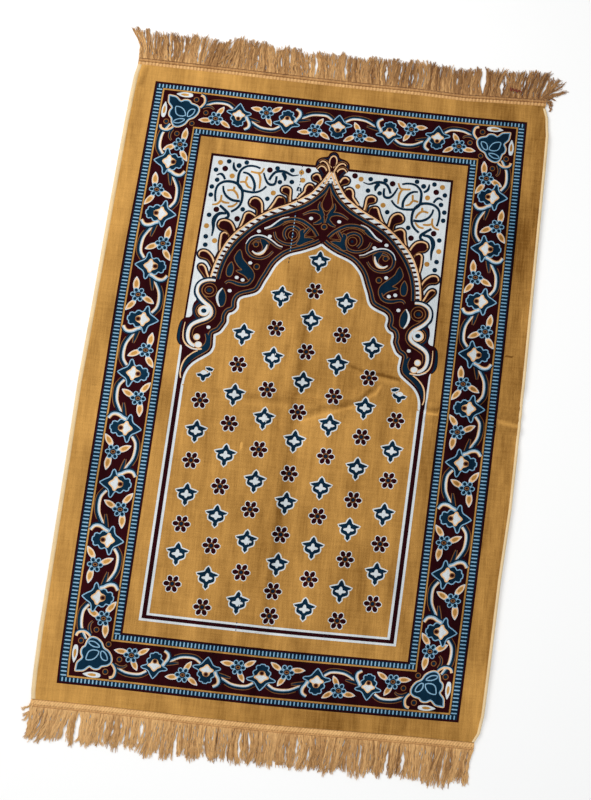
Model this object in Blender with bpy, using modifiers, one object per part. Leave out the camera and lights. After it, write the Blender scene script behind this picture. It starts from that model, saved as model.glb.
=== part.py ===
"""A flat prayer rug lying on a floor, with a fringe across each short end.

Metres, +Z up, the rug's length along Y with the arch's point towards +Y. The
origin is on the floor, under the middle of the rug and its fringes. The rug
lies a little skewed and uneven: each point is first worked out on the straight
rug, in millimetres, and laid() then gives its place on the floor, in metres.
"""
import math
import random
from collections import namedtuple

import bmesh
import bpy
from mathutils import Vector

MM = 0.001                 # the sizes below are in millimetres

# The middle of the rug and its fringes, as they lie, from the straight rug's own
MIDDLE_X = 3.7
MIDDLE_Y = -0.7

# The cloth
CLOTH_THICK = 4.0          # ground weave and short pile together
RIM_ROUNDING = 1.3         # taken off along the cloth's upper and lower rim
RIM_ANGLE = math.radians(60.0)
SKEW = 0.0377              # how far the top end lies over to the right, per length
FOLD_X = -6.0              # where the rug was folded in half along its length
FOLD_Y = -18.0             # where it was then folded across
COLUMNS_A_HALF = 14        # mesh columns on each side of the long fold
ROWS_A_HALF = 20           # mesh rows on each side of the cross fold
CROWDING = 1.25            # above 1, the columns and rows lie closer at the folds

# How far the cloth reaches to each side, along its length
Girth = namedtuple("Girth", "y left right")
GIRTHS = (
    Girth(-498.0, -332.5, 325.0),
    Girth(-485.0, -334.5, 332.0),
    Girth(-460.0, -336.0, 335.0),
    Girth(-400.0, -338.0, 336.0),
    Girth(-260.0, -339.5, 337.5),
    Girth(-150.0, -340.5, 341.5),
    Girth(-20.0, -342.5, 341.5),
    Girth(100.0, -340.5, 340.0),
    Girth(250.0, -339.5, 337.5),
    Girth(400.0, -337.5, 335.5),
    Girth(450.0, -335.5, 334.5),
    Girth(480.0, -334.0, 331.0),
    Girth(496.0, -331.5, 325.0),
)

# Soft ridges left by folding and handling: each from one point to another
Ridge = namedtuple("Ridge", "x0 y0 x1 y1 rise spread")
RIDGES = (
    Ridge(-6.0, 455.0, -6.0, 25.0, 1.7, 24.0),
    Ridge(-6.0, -55.0, -6.0, -455.0, 1.7, 24.0),
    Ridge(150.0, -18.0, 336.0, -19.0, 2.6, 26.0),
    Ridge(-85.0, -16.0, 0.0, -19.0, 1.5, 22.0),
    Ridge(5.0, -43.0, 75.0, -15.0, 2.0, 22.0),
    Ridge(75.0, -15.0, 114.0, 24.0, 2.0, 22.0),
    Ridge(336.0, 440.0, 340.0, 45.0, 2.6, 27.0),
    Ridge(341.0, -70.0, 334.0, -450.0, 2.2, 27.0),
    Ridge(-333.0, 470.0, -335.0, 450.0, 2.4, 27.0),
)

# The two ends: which way they face, where the cloth ends, how far its end line
# bends down at the long fold, and how wide the fringe's heading strip is
End = namedtuple("End", "outwards line sag heading")
TOP = End(1.0, 495.5, 1.5, 12.0)
BOTTOM = End(-1.0, -498.5, 3.0, 9.5)
SAG_REACH = 260.0          # how far from the fold an end line bends

# The fringes
HEADING_THICK = 3.2
HEADING_GAP = 0.35         # between the strip and the cloth's end
LOCKS = 118                # in each fringe
LOCK_SHARE = 0.74          # of its place on the strip that a lock's root fills
TIP_WIDE = 0.7             # a lock's width at its end, as a share of its root's
TIP_HIGH = 0.5             # and its height there
LOCK_STEPS = 3
LOCK_CURL = 1.4            # above 1, a lock leans over more towards its end
LEAN_UNEVEN = 0.5
LONG_UNEVEN = 5.0

# How far the locks lie over to the right and how long they are, along the strip
Lie = namedtuple("Lie", "x lean long")
TOP_LIES = (
    Lie(-335.0, -21.0, 46.0),
    Lie(-310.0, -12.0, 44.0),
    Lie(-270.0, -2.0, 47.0),
    Lie(-232.0, -4.0, 44.0),
    Lie(-212.0, 6.0, 46.0),
    Lie(-150.0, 0.0, 45.0),
    Lie(-100.0, -5.0, 43.0),
    Lie(0.0, -3.0, 43.0),
    Lie(120.0, 2.0, 46.0),
    Lie(240.0, 2.0, 47.0),
    Lie(290.0, 6.0, 50.0),
    Lie(325.0, 28.0, 46.0),
)
BOTTOM_LIES = (
    Lie(-335.0, -12.0, 38.0),
    Lie(-305.0, -6.0, 46.0),
    Lie(-200.0, 0.0, 47.0),
    Lie(-110.0, 2.0, 47.0),
    Lie(0.0, 0.0, 46.0),
    Lie(120.0, 0.0, 48.0),
    Lie(220.0, 2.0, 50.0),
    Lie(290.0, -2.0, 50.0),
    Lie(325.0, -7.0, 50.0),
)

GOLD_PILE = (0.55, 0.31, 0.08)
TAN_YARN = (0.62, 0.36, 0.14)


def mix(low, high, share):
    """The value a share of the way from one value to another."""
    return low + (high - low) * share


def read(rows, key, place, field):
    """A table's field at a place, straight from row to row."""
    for low, high in zip(rows, rows[1:]):
        start, end = getattr(low, key), getattr(high, key)
        if place <= end or high is rows[-1]:
            share = min(max((place - start) / (end - start), 0.0), 1.0)
            return mix(getattr(low, field), getattr(high, field), share)


def hump(distance, reach):
    """1 in the middle, falling softly to 0 at its reach."""
    if abs(distance) >= reach:
        return 0.0
    return math.cos(0.5 * math.pi * distance / reach) ** 2


def end_line(end, x):
    """How far up the rug the cloth ends at x."""
    return end.line - end.sag * hump(x - FOLD_X, SAG_REACH)


def ridge_height(ridge, x, y):
    """How much one ridge lifts the cloth at a point of the rug."""
    run_x, run_y = ridge.x1 - ridge.x0, ridge.y1 - ridge.y0
    length = math.hypot(run_x, run_y)
    along = ((x - ridge.x0) * run_x + (y - ridge.y0) * run_y) / length
    aside = ((y - ridge.y0) * run_x - (x - ridge.x0) * run_y) / length
    past_end = max(-along, along - length, 0.0)
    return ridge.rise * hump(math.hypot(aside, past_end), ridge.spread)


def lift(x, y):
    """How high the cloth's underside lies off the floor."""
    return max(ridge_height(ridge, x, y) for ridge in RIDGES)


def laid(x, y, z):
    """Where a point of the straight rug lies on the floor."""
    return Vector((x + SKEW * y - MIDDLE_X, y - MIDDLE_Y, z)) * MM


def material(name, colour, roughness):
    """A plain finish for one kind of yarn."""
    finish = bpy.data.materials.new(name)
    finish.use_nodes = True
    shader = finish.node_tree.nodes["Principled BSDF"]
    shader.inputs["Base Color"].default_value = (*colour, 1.0)
    shader.inputs["Roughness"].default_value = roughness
    shader.inputs["Metallic"].default_value = 0.0
    return finish


def add_object(name, bm, finish, collection):
    """One named object from a bmesh."""
    mesh = bpy.data.meshes.new(name)
    bm.to_mesh(mesh)
    bm.free()
    mesh.materials.append(finish)
    piece = bpy.data.objects.new(name, mesh)
    collection.objects.link(piece)
    return piece


def cloth_point(u, v):
    """Where a grid point lies: u and v run from -1 to 1 and are 0 at the folds."""
    end = TOP if v > 0 else BOTTOM
    across, along = abs(u) ** CROWDING, abs(v) ** CROWDING
    side = read(GIRTHS, "y", mix(FOLD_Y, end.line, along), "right" if u > 0 else "left")
    x = mix(FOLD_X, side, across)
    y = mix(FOLD_Y, end_line(end, x), along)
    return laid(x, y, lift(x, y))


def make_cloth(collection):
    """The woven rug with its hemmed long sides: a grid, thickened upwards."""
    bm = bmesh.new()
    bmesh.ops.create_grid(
        bm, x_segments=2 * COLUMNS_A_HALF, y_segments=2 * ROWS_A_HALF, size=1.0)
    for vert in bm.verts:
        vert.co = cloth_point(vert.co.x, vert.co.y)
    cloth = add_object("rug_cloth", bm, material("gold_pile", GOLD_PILE, 0.85), collection)
    thick = cloth.modifiers.new("thickness", "SOLIDIFY")
    thick.thickness = CLOTH_THICK * MM
    thick.offset = 1.0
    rim = cloth.modifiers.new("rounded_rim", "BEVEL")
    rim.width = RIM_ROUNDING * MM
    rim.segments = 1
    rim.limit_method = "ANGLE"
    rim.angle_limit = RIM_ANGLE


def make_heading(bm, end):
    """A flat strip along the cloth's end, cut into places for gaps and locks."""
    bmesh.ops.create_cube(bm, size=1.0)
    lengthwise = [e for e in bm.edges if abs(e.verts[0].co.x - e.verts[1].co.x) > 0.5]
    bmesh.ops.subdivide_edges(bm, edges=lengthwise, cuts=2 * LOCKS, use_grid_fill=True)
    places = 2 * LOCKS + 1
    widening = LOCK_SHARE - 0.5
    left = read(GIRTHS, "y", end.line, "left")
    right = read(GIRTHS, "y", end.line, "right")
    for vert in bm.verts:
        place = round((vert.co.x + 0.5) * places)
        if 0 < place < places:
            place += widening if place % 2 == 0 else -widening
        x = mix(left, right, place / places)
        across = HEADING_GAP + end.heading * (0.5 + end.outwards * vert.co.y)
        y = end_line(end, x) + end.outwards * across
        vert.co = Vector((x, y, HEADING_THICK * (vert.co.z + 0.5)))
    bm.normal_update()


def lock_roots(bm, end):
    """The strip's outer faces that carry a lock: every second one."""
    faces = [face for face in bm.faces if face.normal.y * end.outwards > 0.9]
    faces.sort(key=lambda face: face.calc_center_median().x)
    return faces[1::2]


def grow_lock(bm, face, end, lies, chance):
    """One four-sided lock, drawn out of the strip and thinned to its end."""
    root = face.calc_center_median()
    wide = max(vert.co.x for vert in face.verts) - min(vert.co.x for vert in face.verts)
    lean = read(lies, "x", root.x, "lean") + chance.uniform(-LEAN_UNEVEN, LEAN_UNEVEN)
    long = read(lies, "x", root.x, "long") + chance.uniform(-LONG_UNEVEN, LONG_UNEVEN)
    for step in range(1, LOCK_STEPS + 1):
        face = bmesh.ops.extrude_discrete_faces(bm, faces=[face])["faces"][0]
        middle = face.calc_center_median()
        share = step / LOCK_STEPS
        x = root.x + lean * share ** LOCK_CURL
        y = root.y + end.outwards * long * share
        half = 0.5 * wide * mix(1.0, TIP_WIDE, share)
        high = HEADING_THICK * mix(1.0, TIP_HIGH, share)
        for vert in face.verts:
            is_left, is_upper = vert.co.x < middle.x, vert.co.z > middle.z
            vert.co = Vector((x - half if is_left else x + half, y, high if is_upper else 0.0))


def make_fringe(name, end, lies, seed, collection):
    """One end's fringe: the heading strip and its row of locks, as one solid."""
    chance = random.Random(seed)
    bm = bmesh.new()
    make_heading(bm, end)
    for face in lock_roots(bm, end):
        grow_lock(bm, face, end, lies, chance)
    for vert in bm.verts:
        vert.co = laid(*vert.co)
    bmesh.ops.recalc_face_normals(bm, faces=bm.faces)
    add_object(name, bm, material(name + "_yarn", TAN_YARN, 0.9), collection)


def build():
    """The rug and its two fringes."""
    for old in list(bpy.data.objects):
        bpy.data.objects.remove(old)
    rug = bpy.data.collections.new("prayer_rug")
    bpy.context.scene.collection.children.link(rug)
    make_cloth(rug)
    make_fringe("fringe_top", TOP, TOP_LIES, 11, rug)
    make_fringe("fringe_bottom", BOTTOM, BOTTOM_LIES, 12, rug)


build()
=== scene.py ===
import math
import random

import bmesh
import bpy
import numpy as np
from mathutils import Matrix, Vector
from mathutils.geometry import delaunay_2d_cdt


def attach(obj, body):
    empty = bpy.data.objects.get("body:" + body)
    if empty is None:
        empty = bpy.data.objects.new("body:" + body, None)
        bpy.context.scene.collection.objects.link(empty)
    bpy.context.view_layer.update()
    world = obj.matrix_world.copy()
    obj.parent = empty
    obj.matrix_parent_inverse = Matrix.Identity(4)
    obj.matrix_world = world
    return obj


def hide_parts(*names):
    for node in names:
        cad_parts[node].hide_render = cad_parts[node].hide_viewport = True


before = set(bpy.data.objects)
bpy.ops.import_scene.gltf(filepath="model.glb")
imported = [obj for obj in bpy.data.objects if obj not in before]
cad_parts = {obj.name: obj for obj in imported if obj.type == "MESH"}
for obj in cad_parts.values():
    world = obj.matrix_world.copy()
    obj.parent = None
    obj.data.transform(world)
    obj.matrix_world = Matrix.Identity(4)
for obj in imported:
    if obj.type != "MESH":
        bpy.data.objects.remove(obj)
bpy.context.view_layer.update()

# Camera, light and floor. The rug lies on a plain pale floor under a broad soft
# light from the upper left, and is seen from nearly straight above.
camera_data = bpy.data.cameras.new("camera")
camera = bpy.data.objects.new("camera", camera_data)
camera.location = (-0.04541, -0.26862, 1.75091)
camera.rotation_euler = [math.radians(turn) for turn in (8.08440, -1.90658, 5.74222)]
camera_data.sensor_fit = "VERTICAL"
camera_data.sensor_height = 36.0
camera_data.lens = 51.75
camera_data.clip_start = 0.05
bpy.context.collection.objects.link(camera)
bpy.context.scene.camera = camera
bpy.context.scene.view_settings.view_transform = "Standard"


def soft_light(name, place, target, size, power, colour):
    """A square softbox, turned to face a point on the rug."""
    data = bpy.data.lights.new(name, "AREA")
    data.size = size
    data.energy = power
    data.color = colour
    lamp = bpy.data.objects.new(name, data)
    lamp.location = place
    lamp.rotation_euler = (Vector(target) - Vector(place)).to_track_quat("-Z", "Y").to_euler()
    bpy.context.collection.objects.link(lamp)


soft_light("window_light", (-1.7, 0.9, 2.0), (0.0, 0.0, 0.0), 1.4, 43.0, (1.0, 0.975, 0.95))
soft_light("ceiling_light", (0.4, -0.3, 3.0), (0.0, 0.0, 0.0), 2.4, 36.0, (1.0, 0.99, 0.98))
world = bpy.data.worlds.new("room")
world.use_nodes = True
world.node_tree.nodes["Background"].inputs["Color"].default_value = (0.93, 0.96, 1.0, 1.0)
world.node_tree.nodes["Background"].inputs["Strength"].default_value = 0.47
bpy.context.scene.world = world

FLOOR_SIZE = 12.0
FLOOR_DROP = 0.0004        # so that it lies just clear of the rug's underside
floor_bm = bmesh.new()
bmesh.ops.create_grid(floor_bm, x_segments=1, y_segments=1, size=0.5 * FLOOR_SIZE)
for vert in floor_bm.verts:
    vert.co.z = -FLOOR_DROP
floor_mesh = bpy.data.meshes.new("floor")
floor_bm.to_mesh(floor_mesh)
floor_bm.free()
floor = bpy.data.objects.new("floor", floor_mesh)
bpy.context.collection.objects.link(floor)
floor_look = bpy.data.materials.new("pale_floor")
floor_look.use_nodes = True
floor_shader = floor_look.node_tree.nodes["Principled BSDF"]
floor_shader.inputs["Base Color"].default_value = (0.92, 0.92, 0.91, 1.0)
floor_shader.inputs["Roughness"].default_value = 0.6
floor_mesh.materials.append(floor_look)

# Ground weave. The rug's backing is one plain weave of tan yarn, from hem to hem
# and from end to end. It lies on the floor, with low ridges where it was folded.
MM = 0.001
MIDDLE_X = 3.7             # the middle of the rug as it lies, from the straight rug's own
MIDDLE_Y = -0.7
SKEW = 0.0377              # how far the top end lies over to the right, per length
FOLD_X = -6.0              # the fold along the rug
TOP_END = 495.5            # where the cloth ends, and how far its end lines sag at the fold
BOTTOM_END = -498.5
TOP_SAG = 1.5
BOTTOM_SAG = 3.0
SAG_REACH = 260.0
TOP_WAVE = ((120, 0), (195, -2), (257, 1), (318, 3.6), (330, 3.9))
GROUND_THICK = 2.0
LEFT_SIDE = ((-500, -332.3), (-485, -334.5), (-460, -336), (-400, -338), (-260, -339.5),
             (-150, -340.5), (-20, -342.5), (100, -340.5), (250, -339.5), (400, -337.5),
             (450, -335.5), (480, -334), (498, -331.3))
RIGHT_SIDE = ((-500, 324.5), (-485, 332), (-460, 335), (-400, 336), (-260, 337.5),
              (-150, 341.5), (-20, 341.5), (100, 340), (250, 337.5), (400, 335.5),
              (450, 334.5), (480, 331), (498, 324.3))
RIDGES = (                 # from where to where, how high and how far to each side
    (-19, 455, -20, -30, 1.8, 14),
    (-18, -30, -17, -240, 1.7, 13),
    (-17, -240, -12, -455, 1.3, 12),
    (68, 55, 142, 44, 1.7, 12),
    (84, 31, 118, 27, 2.2, 11),
    (118, 27, 146, 22, 2.4, 11),
    (146, 22, 160, 8, 1.8, 10),
    (106, 20, 90, 4, 2.2, 11),
    (90, 4, 74, -4, 2.2, 11),
    (74, -4, 0, -27, 2, 13),
    (124, 12, 106, -10, 2.2, 10),
    (106, -10, 60, -34, 1.9, 11),
    (60, -34, 4, -58, 1.7, 12),
    (-95, -9, 0, -10, 1.6, 12),
    (-90, -35, -10, -36, 1.5, 12),
    (186, -4, 336, -3, 2.2, 11),
    (186, -23, 338, -26, 2.4, 11),
    (336, 440, 340, 45, 2.6, 27),
    (341, -70, 334, -450, 2.2, 27),
    (-333, 470, -335, 440, 2.8, 22),
)


def mix(low, high, share):
    """The value a share of the way from one value to another."""
    return low + (high - low) * share


def read(rows, place):
    """The value at a place in a table of places and values."""
    return float(np.interp(place, [row[0] for row in rows], [row[1] for row in rows]))


def hump(distance, reach):
    """1 in the middle, falling softly to 0 at its reach."""
    if abs(distance) >= reach:
        return 0.0
    return math.cos(0.5 * math.pi * distance / reach) ** 2


def end_line(x, upper):
    """How far up the rug the cloth ends at x."""
    sag = hump(x - FOLD_X, SAG_REACH)
    return TOP_END + read(TOP_WAVE, x) - TOP_SAG * sag if upper else BOTTOM_END - BOTTOM_SAG * sag


def off_stroke(x, y, x0, y0, x1, y1):
    """How far a point is from the line between two others."""
    run_x, run_y = x1 - x0, y1 - y0
    share = ((x - x0) * run_x + (y - y0) * run_y) / (run_x ** 2 + run_y ** 2)
    share = min(max(share, 0.0), 1.0)
    return math.hypot(x - x0 - share * run_x, y - y0 - share * run_y)


def lift(x, y):
    """How high the cloth's underside lies off the floor."""
    rises = [rise * hump(off_stroke(x, y, *line), spread) for *line, rise, spread in RIDGES]
    return max(rises)


def laid(x, y, z):
    """Where a point of the straight rug lies on the floor, in metres."""
    return Vector((x + SKEW * y - MIDDLE_X, y - MIDDLE_Y, z)) * MM


def add_piece(name, bm, look, slot, *nodes):
    """One named piece from a bmesh, on the rug, in place of CAD solids."""
    mesh = bpy.data.meshes.new(name)
    bm.to_mesh(mesh)
    bm.free()
    mesh.materials.append(look)
    piece = bpy.data.objects.new(name, mesh)
    bpy.context.collection.objects.link(piece)
    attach(piece, "root")
    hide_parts(*nodes)
    return piece


class Look:
    """A procedural finish: one shader, and the nodes that feed it."""

    def __init__(self, name, roughness, sheen=0.0, sheen_tint=(1.0, 1.0, 1.0)):
        self.material = bpy.data.materials.new(name)
        self.material.use_nodes = True
        self.tree = self.material.node_tree
        self.shader = self.tree.nodes["Principled BSDF"]
        self.shader.inputs["Roughness"].default_value = roughness
        self.shader.inputs["Specular IOR Level"].default_value = 0.05
        self.shader.inputs["Sheen Weight"].default_value = sheen
        self.shader.inputs["Sheen Roughness"].default_value = 0.5
        self.shader.inputs["Sheen Tint"].default_value = (*sheen_tint, 1.0)
        self.place = self.tree.nodes.new("ShaderNodeTexCoord").outputs["Object"]

    def put(self, socket, value):
        """A number or another node's output into a socket."""
        if isinstance(value, bpy.types.NodeSocket):
            self.tree.links.new(value, socket)
        else:
            socket.default_value = value

    def stretched(self, x, y, turn=0.0):
        """The place on the piece, drawn out differently along each way, and turned."""
        node = self.tree.nodes.new("ShaderNodeMapping")
        self.put(node.inputs["Vector"], self.place)
        node.inputs["Scale"].default_value = (x, y, 1.0)
        node.inputs["Rotation"].default_value = (0.0, 0.0, math.radians(turn))
        return node.outputs["Vector"]

    def noise(self, place, scale, detail=2.0, roughness=0.5):
        """Soft cloudy values around 0.5."""
        node = self.tree.nodes.new("ShaderNodeTexNoise")
        self.put(node.inputs["Vector"], place)
        node.inputs["Scale"].default_value = scale
        node.inputs["Detail"].default_value = detail
        node.inputs["Roughness"].default_value = roughness
        return node.outputs["Fac"]

    def tufts(self, place, scale):
        """The distance from the middle of each of many small cells."""
        node = self.tree.nodes.new("ShaderNodeTexVoronoi")
        self.put(node.inputs["Vector"], place)
        node.inputs["Scale"].default_value = scale
        return node.outputs["Distance"]

    def waves(self, place, scale, direction, distortion=0.0):
        """Even ribs across one way."""
        node = self.tree.nodes.new("ShaderNodeTexWave")
        node.bands_direction = direction
        self.put(node.inputs["Vector"], place)
        node.inputs["Scale"].default_value = scale
        node.inputs["Distortion"].default_value = distortion
        return node.outputs["Fac"]

    def ramp(self, value, *stops):
        """Values turned into others: each stop is where, and what there."""
        node = self.tree.nodes.new("ShaderNodeValToRGB")
        self.put(node.inputs["Fac"], value)
        marks = node.color_ramp.elements
        while len(marks) < len(stops):
            marks.new(1.0)
        for mark, (where, what) in zip(marks, stops):
            mark.position = where
            mark.color = (*what, 1.0) if isinstance(what, tuple) else (what, what, what, 1.0)
        return node.outputs["Color"]

    def multiplied(self, first, second):
        """Two colours multiplied: the node's inputs are its share and the two colours."""
        node = self.tree.nodes.new("ShaderNodeMix")
        node.data_type = "RGBA"
        node.blend_type = "MULTIPLY"
        self.put(node.inputs[0], 1.0)
        self.put(node.inputs[6], first)
        self.put(node.inputs[7], second)
        return node.outputs[2]

    def sums(self, kind, first, second):
        """Two values added, multiplied and so on."""
        node = self.tree.nodes.new("ShaderNodeMath")
        node.operation = kind
        self.put(node.inputs[0], first)
        self.put(node.inputs[1], second)
        return node.outputs[0]

    def kept(self, name):
        """The value that the piece's own points carry under a name."""
        node = self.tree.nodes.new("ShaderNodeAttribute")
        node.attribute_name = name
        return node.outputs["Fac"]

    def clouded(self, tone, *clouds):
        """A tone made uneven: each cloud is its values and how strongly they tell."""
        for cloud, share in clouds:
            tone = self.sums("ADD", tone, self.sums("MULTIPLY", self.sums("SUBTRACT", cloud, 0.5), share))
        return tone

    def colour(self, value):
        """The colour of the finish itself."""
        self.put(self.shader.inputs["Base Color"], value)

    def relief(self, height, depth, strength=1.0):
        """Bump, from values that stand for heights of up to depth metres."""
        node = self.tree.nodes.new("ShaderNodeBump")
        node.inputs["Distance"].default_value = depth
        node.inputs["Strength"].default_value = strength
        self.put(node.inputs["Height"], height)
        self.tree.links.new(node.outputs["Normal"], self.shader.inputs["Normal"])


def ground_look():
    """Plain weave in tan yarn: ribs along and across, a little uneven."""
    look = Look("ground_weave", 0.92)
    across = look.waves(look.place, 115.0, "X", 0.6)
    along = look.waves(look.place, 150.0, "Y", 0.6)
    weave = look.multiplied(across, along)
    patches = look.ramp(look.noise(look.place, 14.0, 3.0), (0.3, 0.82), (0.7, 1.0))
    threads = look.ramp(weave, (0.0, (0.34, 0.21, 0.09)), (1.0, (0.56, 0.37, 0.17)))
    look.colour(look.multiplied(threads, patches))
    look.relief(weave, 0.0006)
    return look.material


GROUND_COLUMNS = 84
GROUND_ROWS = 124
GROUND_INSET = 1.6         # the hems reach this far beyond it

ground_bm = bmesh.new()
bmesh.ops.create_grid(ground_bm, x_segments=GROUND_COLUMNS, y_segments=GROUND_ROWS, size=1.0)
for vert in ground_bm.verts:
    across, along = 0.5 + 0.5 * vert.co.x, 0.5 + 0.5 * vert.co.y
    y = mix(BOTTOM_END, TOP_END, along)
    x = mix(read(LEFT_SIDE, y) + GROUND_INSET, read(RIGHT_SIDE, y) - GROUND_INSET, across)
    y = mix(end_line(x, False), end_line(x, True), along)
    vert.co = laid(x, y, lift(x, y))
ground = add_piece("ground_weave", ground_bm, ground_look(), "ground_weave", "rug_cloth")
thick = ground.modifiers.new("thickness", "SOLIDIFY")
thick.thickness = GROUND_THICK * MM
thick.offset = 1.0

# The pattern. It is woven in as the pile is, in seven yarns and the same on both
# sides of the rug's middle line. Each shape is laid on the plan below, in mm, over
# what is there already; the pile section further down cuts the piles out of it.
AXIS_X = -1.2              # the pattern's middle line, and the middle of its border
AXIS_Y = -0.8
BULGE_WIDE = 300           # the border bulges sideways: by these shares, this far out
LEFT_BULGE = ((-465, 0), (-440, 0.007), (-300, 0.0160), (-200, 0.0190), (0, 0.0200),
              (100, 0.0225), (200, 0.0200), (300, 0.0110), (440, 0.002), (465, 0))
RIGHT_BULGE = ((-465, 0.005), (-300, 0.0157), (-200, 0.0199), (-100, 0.0225), (0, 0.0233),
               (100, 0.0225), (200, 0.0199), (300, 0.0157), (465, 0.005))
RIGHT_SPREAD = 0.005       # the right half of the niche lies this much wider
RIGHT_DROP = ((-12, 0), (0, 2.4), (60, 3.2), (110, 3), (140, 2), (170, 0.4),
              (190, 0))  # and its foot this much lower
PATTERN_LONG = 465
SINK_TOP = ((-300, 0), (-200, 0.6), (-100, 2.1), (0, 2.7), (100, 3.1), (200, 2.9),
            (300, 1.1))  # how far down the pattern has sunk, near the top
SINK_FOOT = ((-300, 0.3), (-200, 0.8), (-100, 2.3), (0, 3.3), (60, 3.1), (100, 2.6),
             (200, 1.4), (300, 0))
plan = []


def sink(x, y):
    """How far down a place of the pattern has sunk."""
    return mix(read(SINK_FOOT, x), read(SINK_TOP, x), 0.5 + y / (2 * PATTERN_LONG))


def settled(points):
    """Places on the pattern as it was woven, where they lie on the rug."""
    lying = []
    for x, y in points:
        wider = read(LEFT_BULGE if x < 0 else RIGHT_BULGE, y) * (x / BULGE_WIDE) ** 2
        lying.append((AXIS_X + x * (1 + wider), AXIS_Y + y - sink(x, y)))
    return lying


def lay(yarn, points, across=True, down=True):
    """Lays a shape of the straight pattern in its place, and its likes across and down."""
    for over_x in (1, -1) if across else (1,):
        for over_y in (1, -1) if down else (1,):
            plan.append((yarn, settled([(x * over_x, y * over_y) for x, y in points])))


def lay_inner(yarn, points, across=True):
    """Lays a shape of the niche or arch, as it lies on the left, and its like on the right."""
    plan.append((yarn, list(points)))
    if across:
        plan.append((yarn, [(2 * AXIS_X - x + RIGHT_SPREAD * abs(x),
                             y + sink(x, y) - sink(-x, y) - read(RIGHT_DROP, y)) for x, y in points]))


def lay_once(yarn, points):
    """Lays a shape of the niche where it is, and nowhere else."""
    plan.append((yarn, list(points)))


def straight(points, step=24):
    """A closed outline of straight sides, cut into steps so that it can bow."""
    cut = []
    for (x0, y0), (x1, y1) in zip(points, points[1:] + points[:1]):
        count = max(1, round(math.hypot(x1 - x0, y1 - y0) / step))
        cut += [(mix(x0, x1, i / count), mix(y0, y1, i / count)) for i in range(count)]
    return cut


def oblong(half_wide, top, foot):
    """A rectangle on both sides of the middle line."""
    return straight([(-half_wide, foot), (half_wide, foot), (half_wide, top), (-half_wide, top)])


def curve(points, closed=True, steps=4):
    """A smooth line through a few places."""
    count = len(points)
    smooth = []
    for i in range(count if closed else count - 1):
        if closed:
            near = [points[(i + k) % count] for k in (-1, 0, 1, 2)]
        else:
            near = [points[min(max(i + k, 0), count - 1)] for k in (-1, 0, 1, 2)]
        for step in range(steps):
            t = step / steps
            smooth.append(tuple(
                0.5 * (2 * b + (c - a) * t + (2 * a - 5 * b + 4 * c - d) * t * t
                       + (3 * b - a - 3 * c + d) * t ** 3)
                for a, b, c, d in zip(*near)))
    return smooth if closed else smooth + [points[-1]]


def grown(outline, by):
    """A closed outline moved outwards, or inwards where by is less than 0."""
    around = list(zip(outline[-1:] + outline, outline, outline[1:] + outline[:1]))
    area = sum(x0 * y1 - x1 * y0 for (x0, y0), (x1, y1) in zip(outline, outline[1:] + outline[:1]))
    way = by if area > 0 else -by
    moved = []
    for (x0, y0), (x, y), (x1, y1) in around:
        run = math.hypot(x1 - x0, y1 - y0) or 1
        moved.append((x + way * (y1 - y0) / run, y - way * (x1 - x0) / run))
    return moved


def oval(x, y, long, wide=None, turn=0, corners=12):
    """A round or oval spot: half its length along turn, and half its width."""
    wide = long if wide is None else wide
    cos, sin = math.cos(math.radians(turn)), math.sin(math.radians(turn))
    spot = []
    for i in range(corners):
        angle = 2 * math.pi * (i + 0.5) / corners
        a, b = long * math.cos(angle), wide * math.sin(angle)
        spot.append((x + a * cos - b * sin, y + a * sin + b * cos))
    return spot


def band(places, wide, ends=(1, 1), steps=3, spread=0, aside=0):
    """A stripe along a smooth line, or aside of it. Its ends may be thinned, and
    spread adds an edge."""
    path = curve(places, closed=False, steps=steps)
    left, right = [], []
    last = len(path) - 1
    for i, (x, y) in enumerate(path):
        (x0, y0), (x1, y1) = path[max(i - 1, 0)], path[min(i + 1, last)]
        run = math.hypot(x1 - x0, y1 - y0) or 1
        ny, nx = (x1 - x0) / run, (y1 - y0) / run
        share = i / last
        thin = mix(ends[0], 1, min(2 * share, 1)) * mix(1, ends[1], max(2 * share - 1, 0))
        half = 0.5 * wide * thin + spread
        left.append((x - (half + aside) * nx, y + (half + aside) * ny))
        right.append((x + (half - aside) * nx, y - (half - aside) * ny))
    return left + right[::-1]


def both_sides(half):
    """A whole outline from the half of it that starts and ends on its own middle line."""
    return half + [(u, -v) for u, v in half[-2:0:-1]]


LEAF_HALF = [(0, 0), (0.03, 0.5), (0.16, 0.84), (0.42, 1), (0.68, 0.84), (0.9, 0.36), (1, 0)]


def leaf(start, end, wide, share=1, steps=2):
    """A pointed leaf from its foot to its tip."""
    (x0, y0), (x1, y1) = start, end
    long = math.hypot(x1 - x0, y1 - y0)
    cos, sin = (x1 - x0) / long, (y1 - y0) / long
    outline = []
    for a, b in both_sides(LEAF_HALF):
        a = mix(0.5, a, share) * long
        b = 0.5 * wide * b * share
        outline.append((x0 + a * cos - b * sin, y0 + a * sin + b * cos))
    return curve(outline, steps=steps)


# Guard stripes: two ladders of short pale bars with a gold line beside them, on
# each side of the vine border. From outside in, each yarn's oblong covers the last.
GUARD_STEPS = (
    ("maroon", 297.8, 471.2),
    ("navy", 294.8, 468),
    ("gold", 284.2, 461),
    ("maroon", 281.8, 458.6),
    ("gold", 227, 402.8),
    ("navy", 224.9, 400.4),
    ("maroon", 214.9, 392),
    ("gold", 212.2, 389.3),
)
BAR_PITCH = 5.6
BAR_THICK = 1.95
BAR_HALF = ((-1, -0.7), (-0.6, -1), (0.6, -1), (1, -0.7), (1, 0.7), (0.6, 1), (-0.6, 1), (-1, 0.7))


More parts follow.
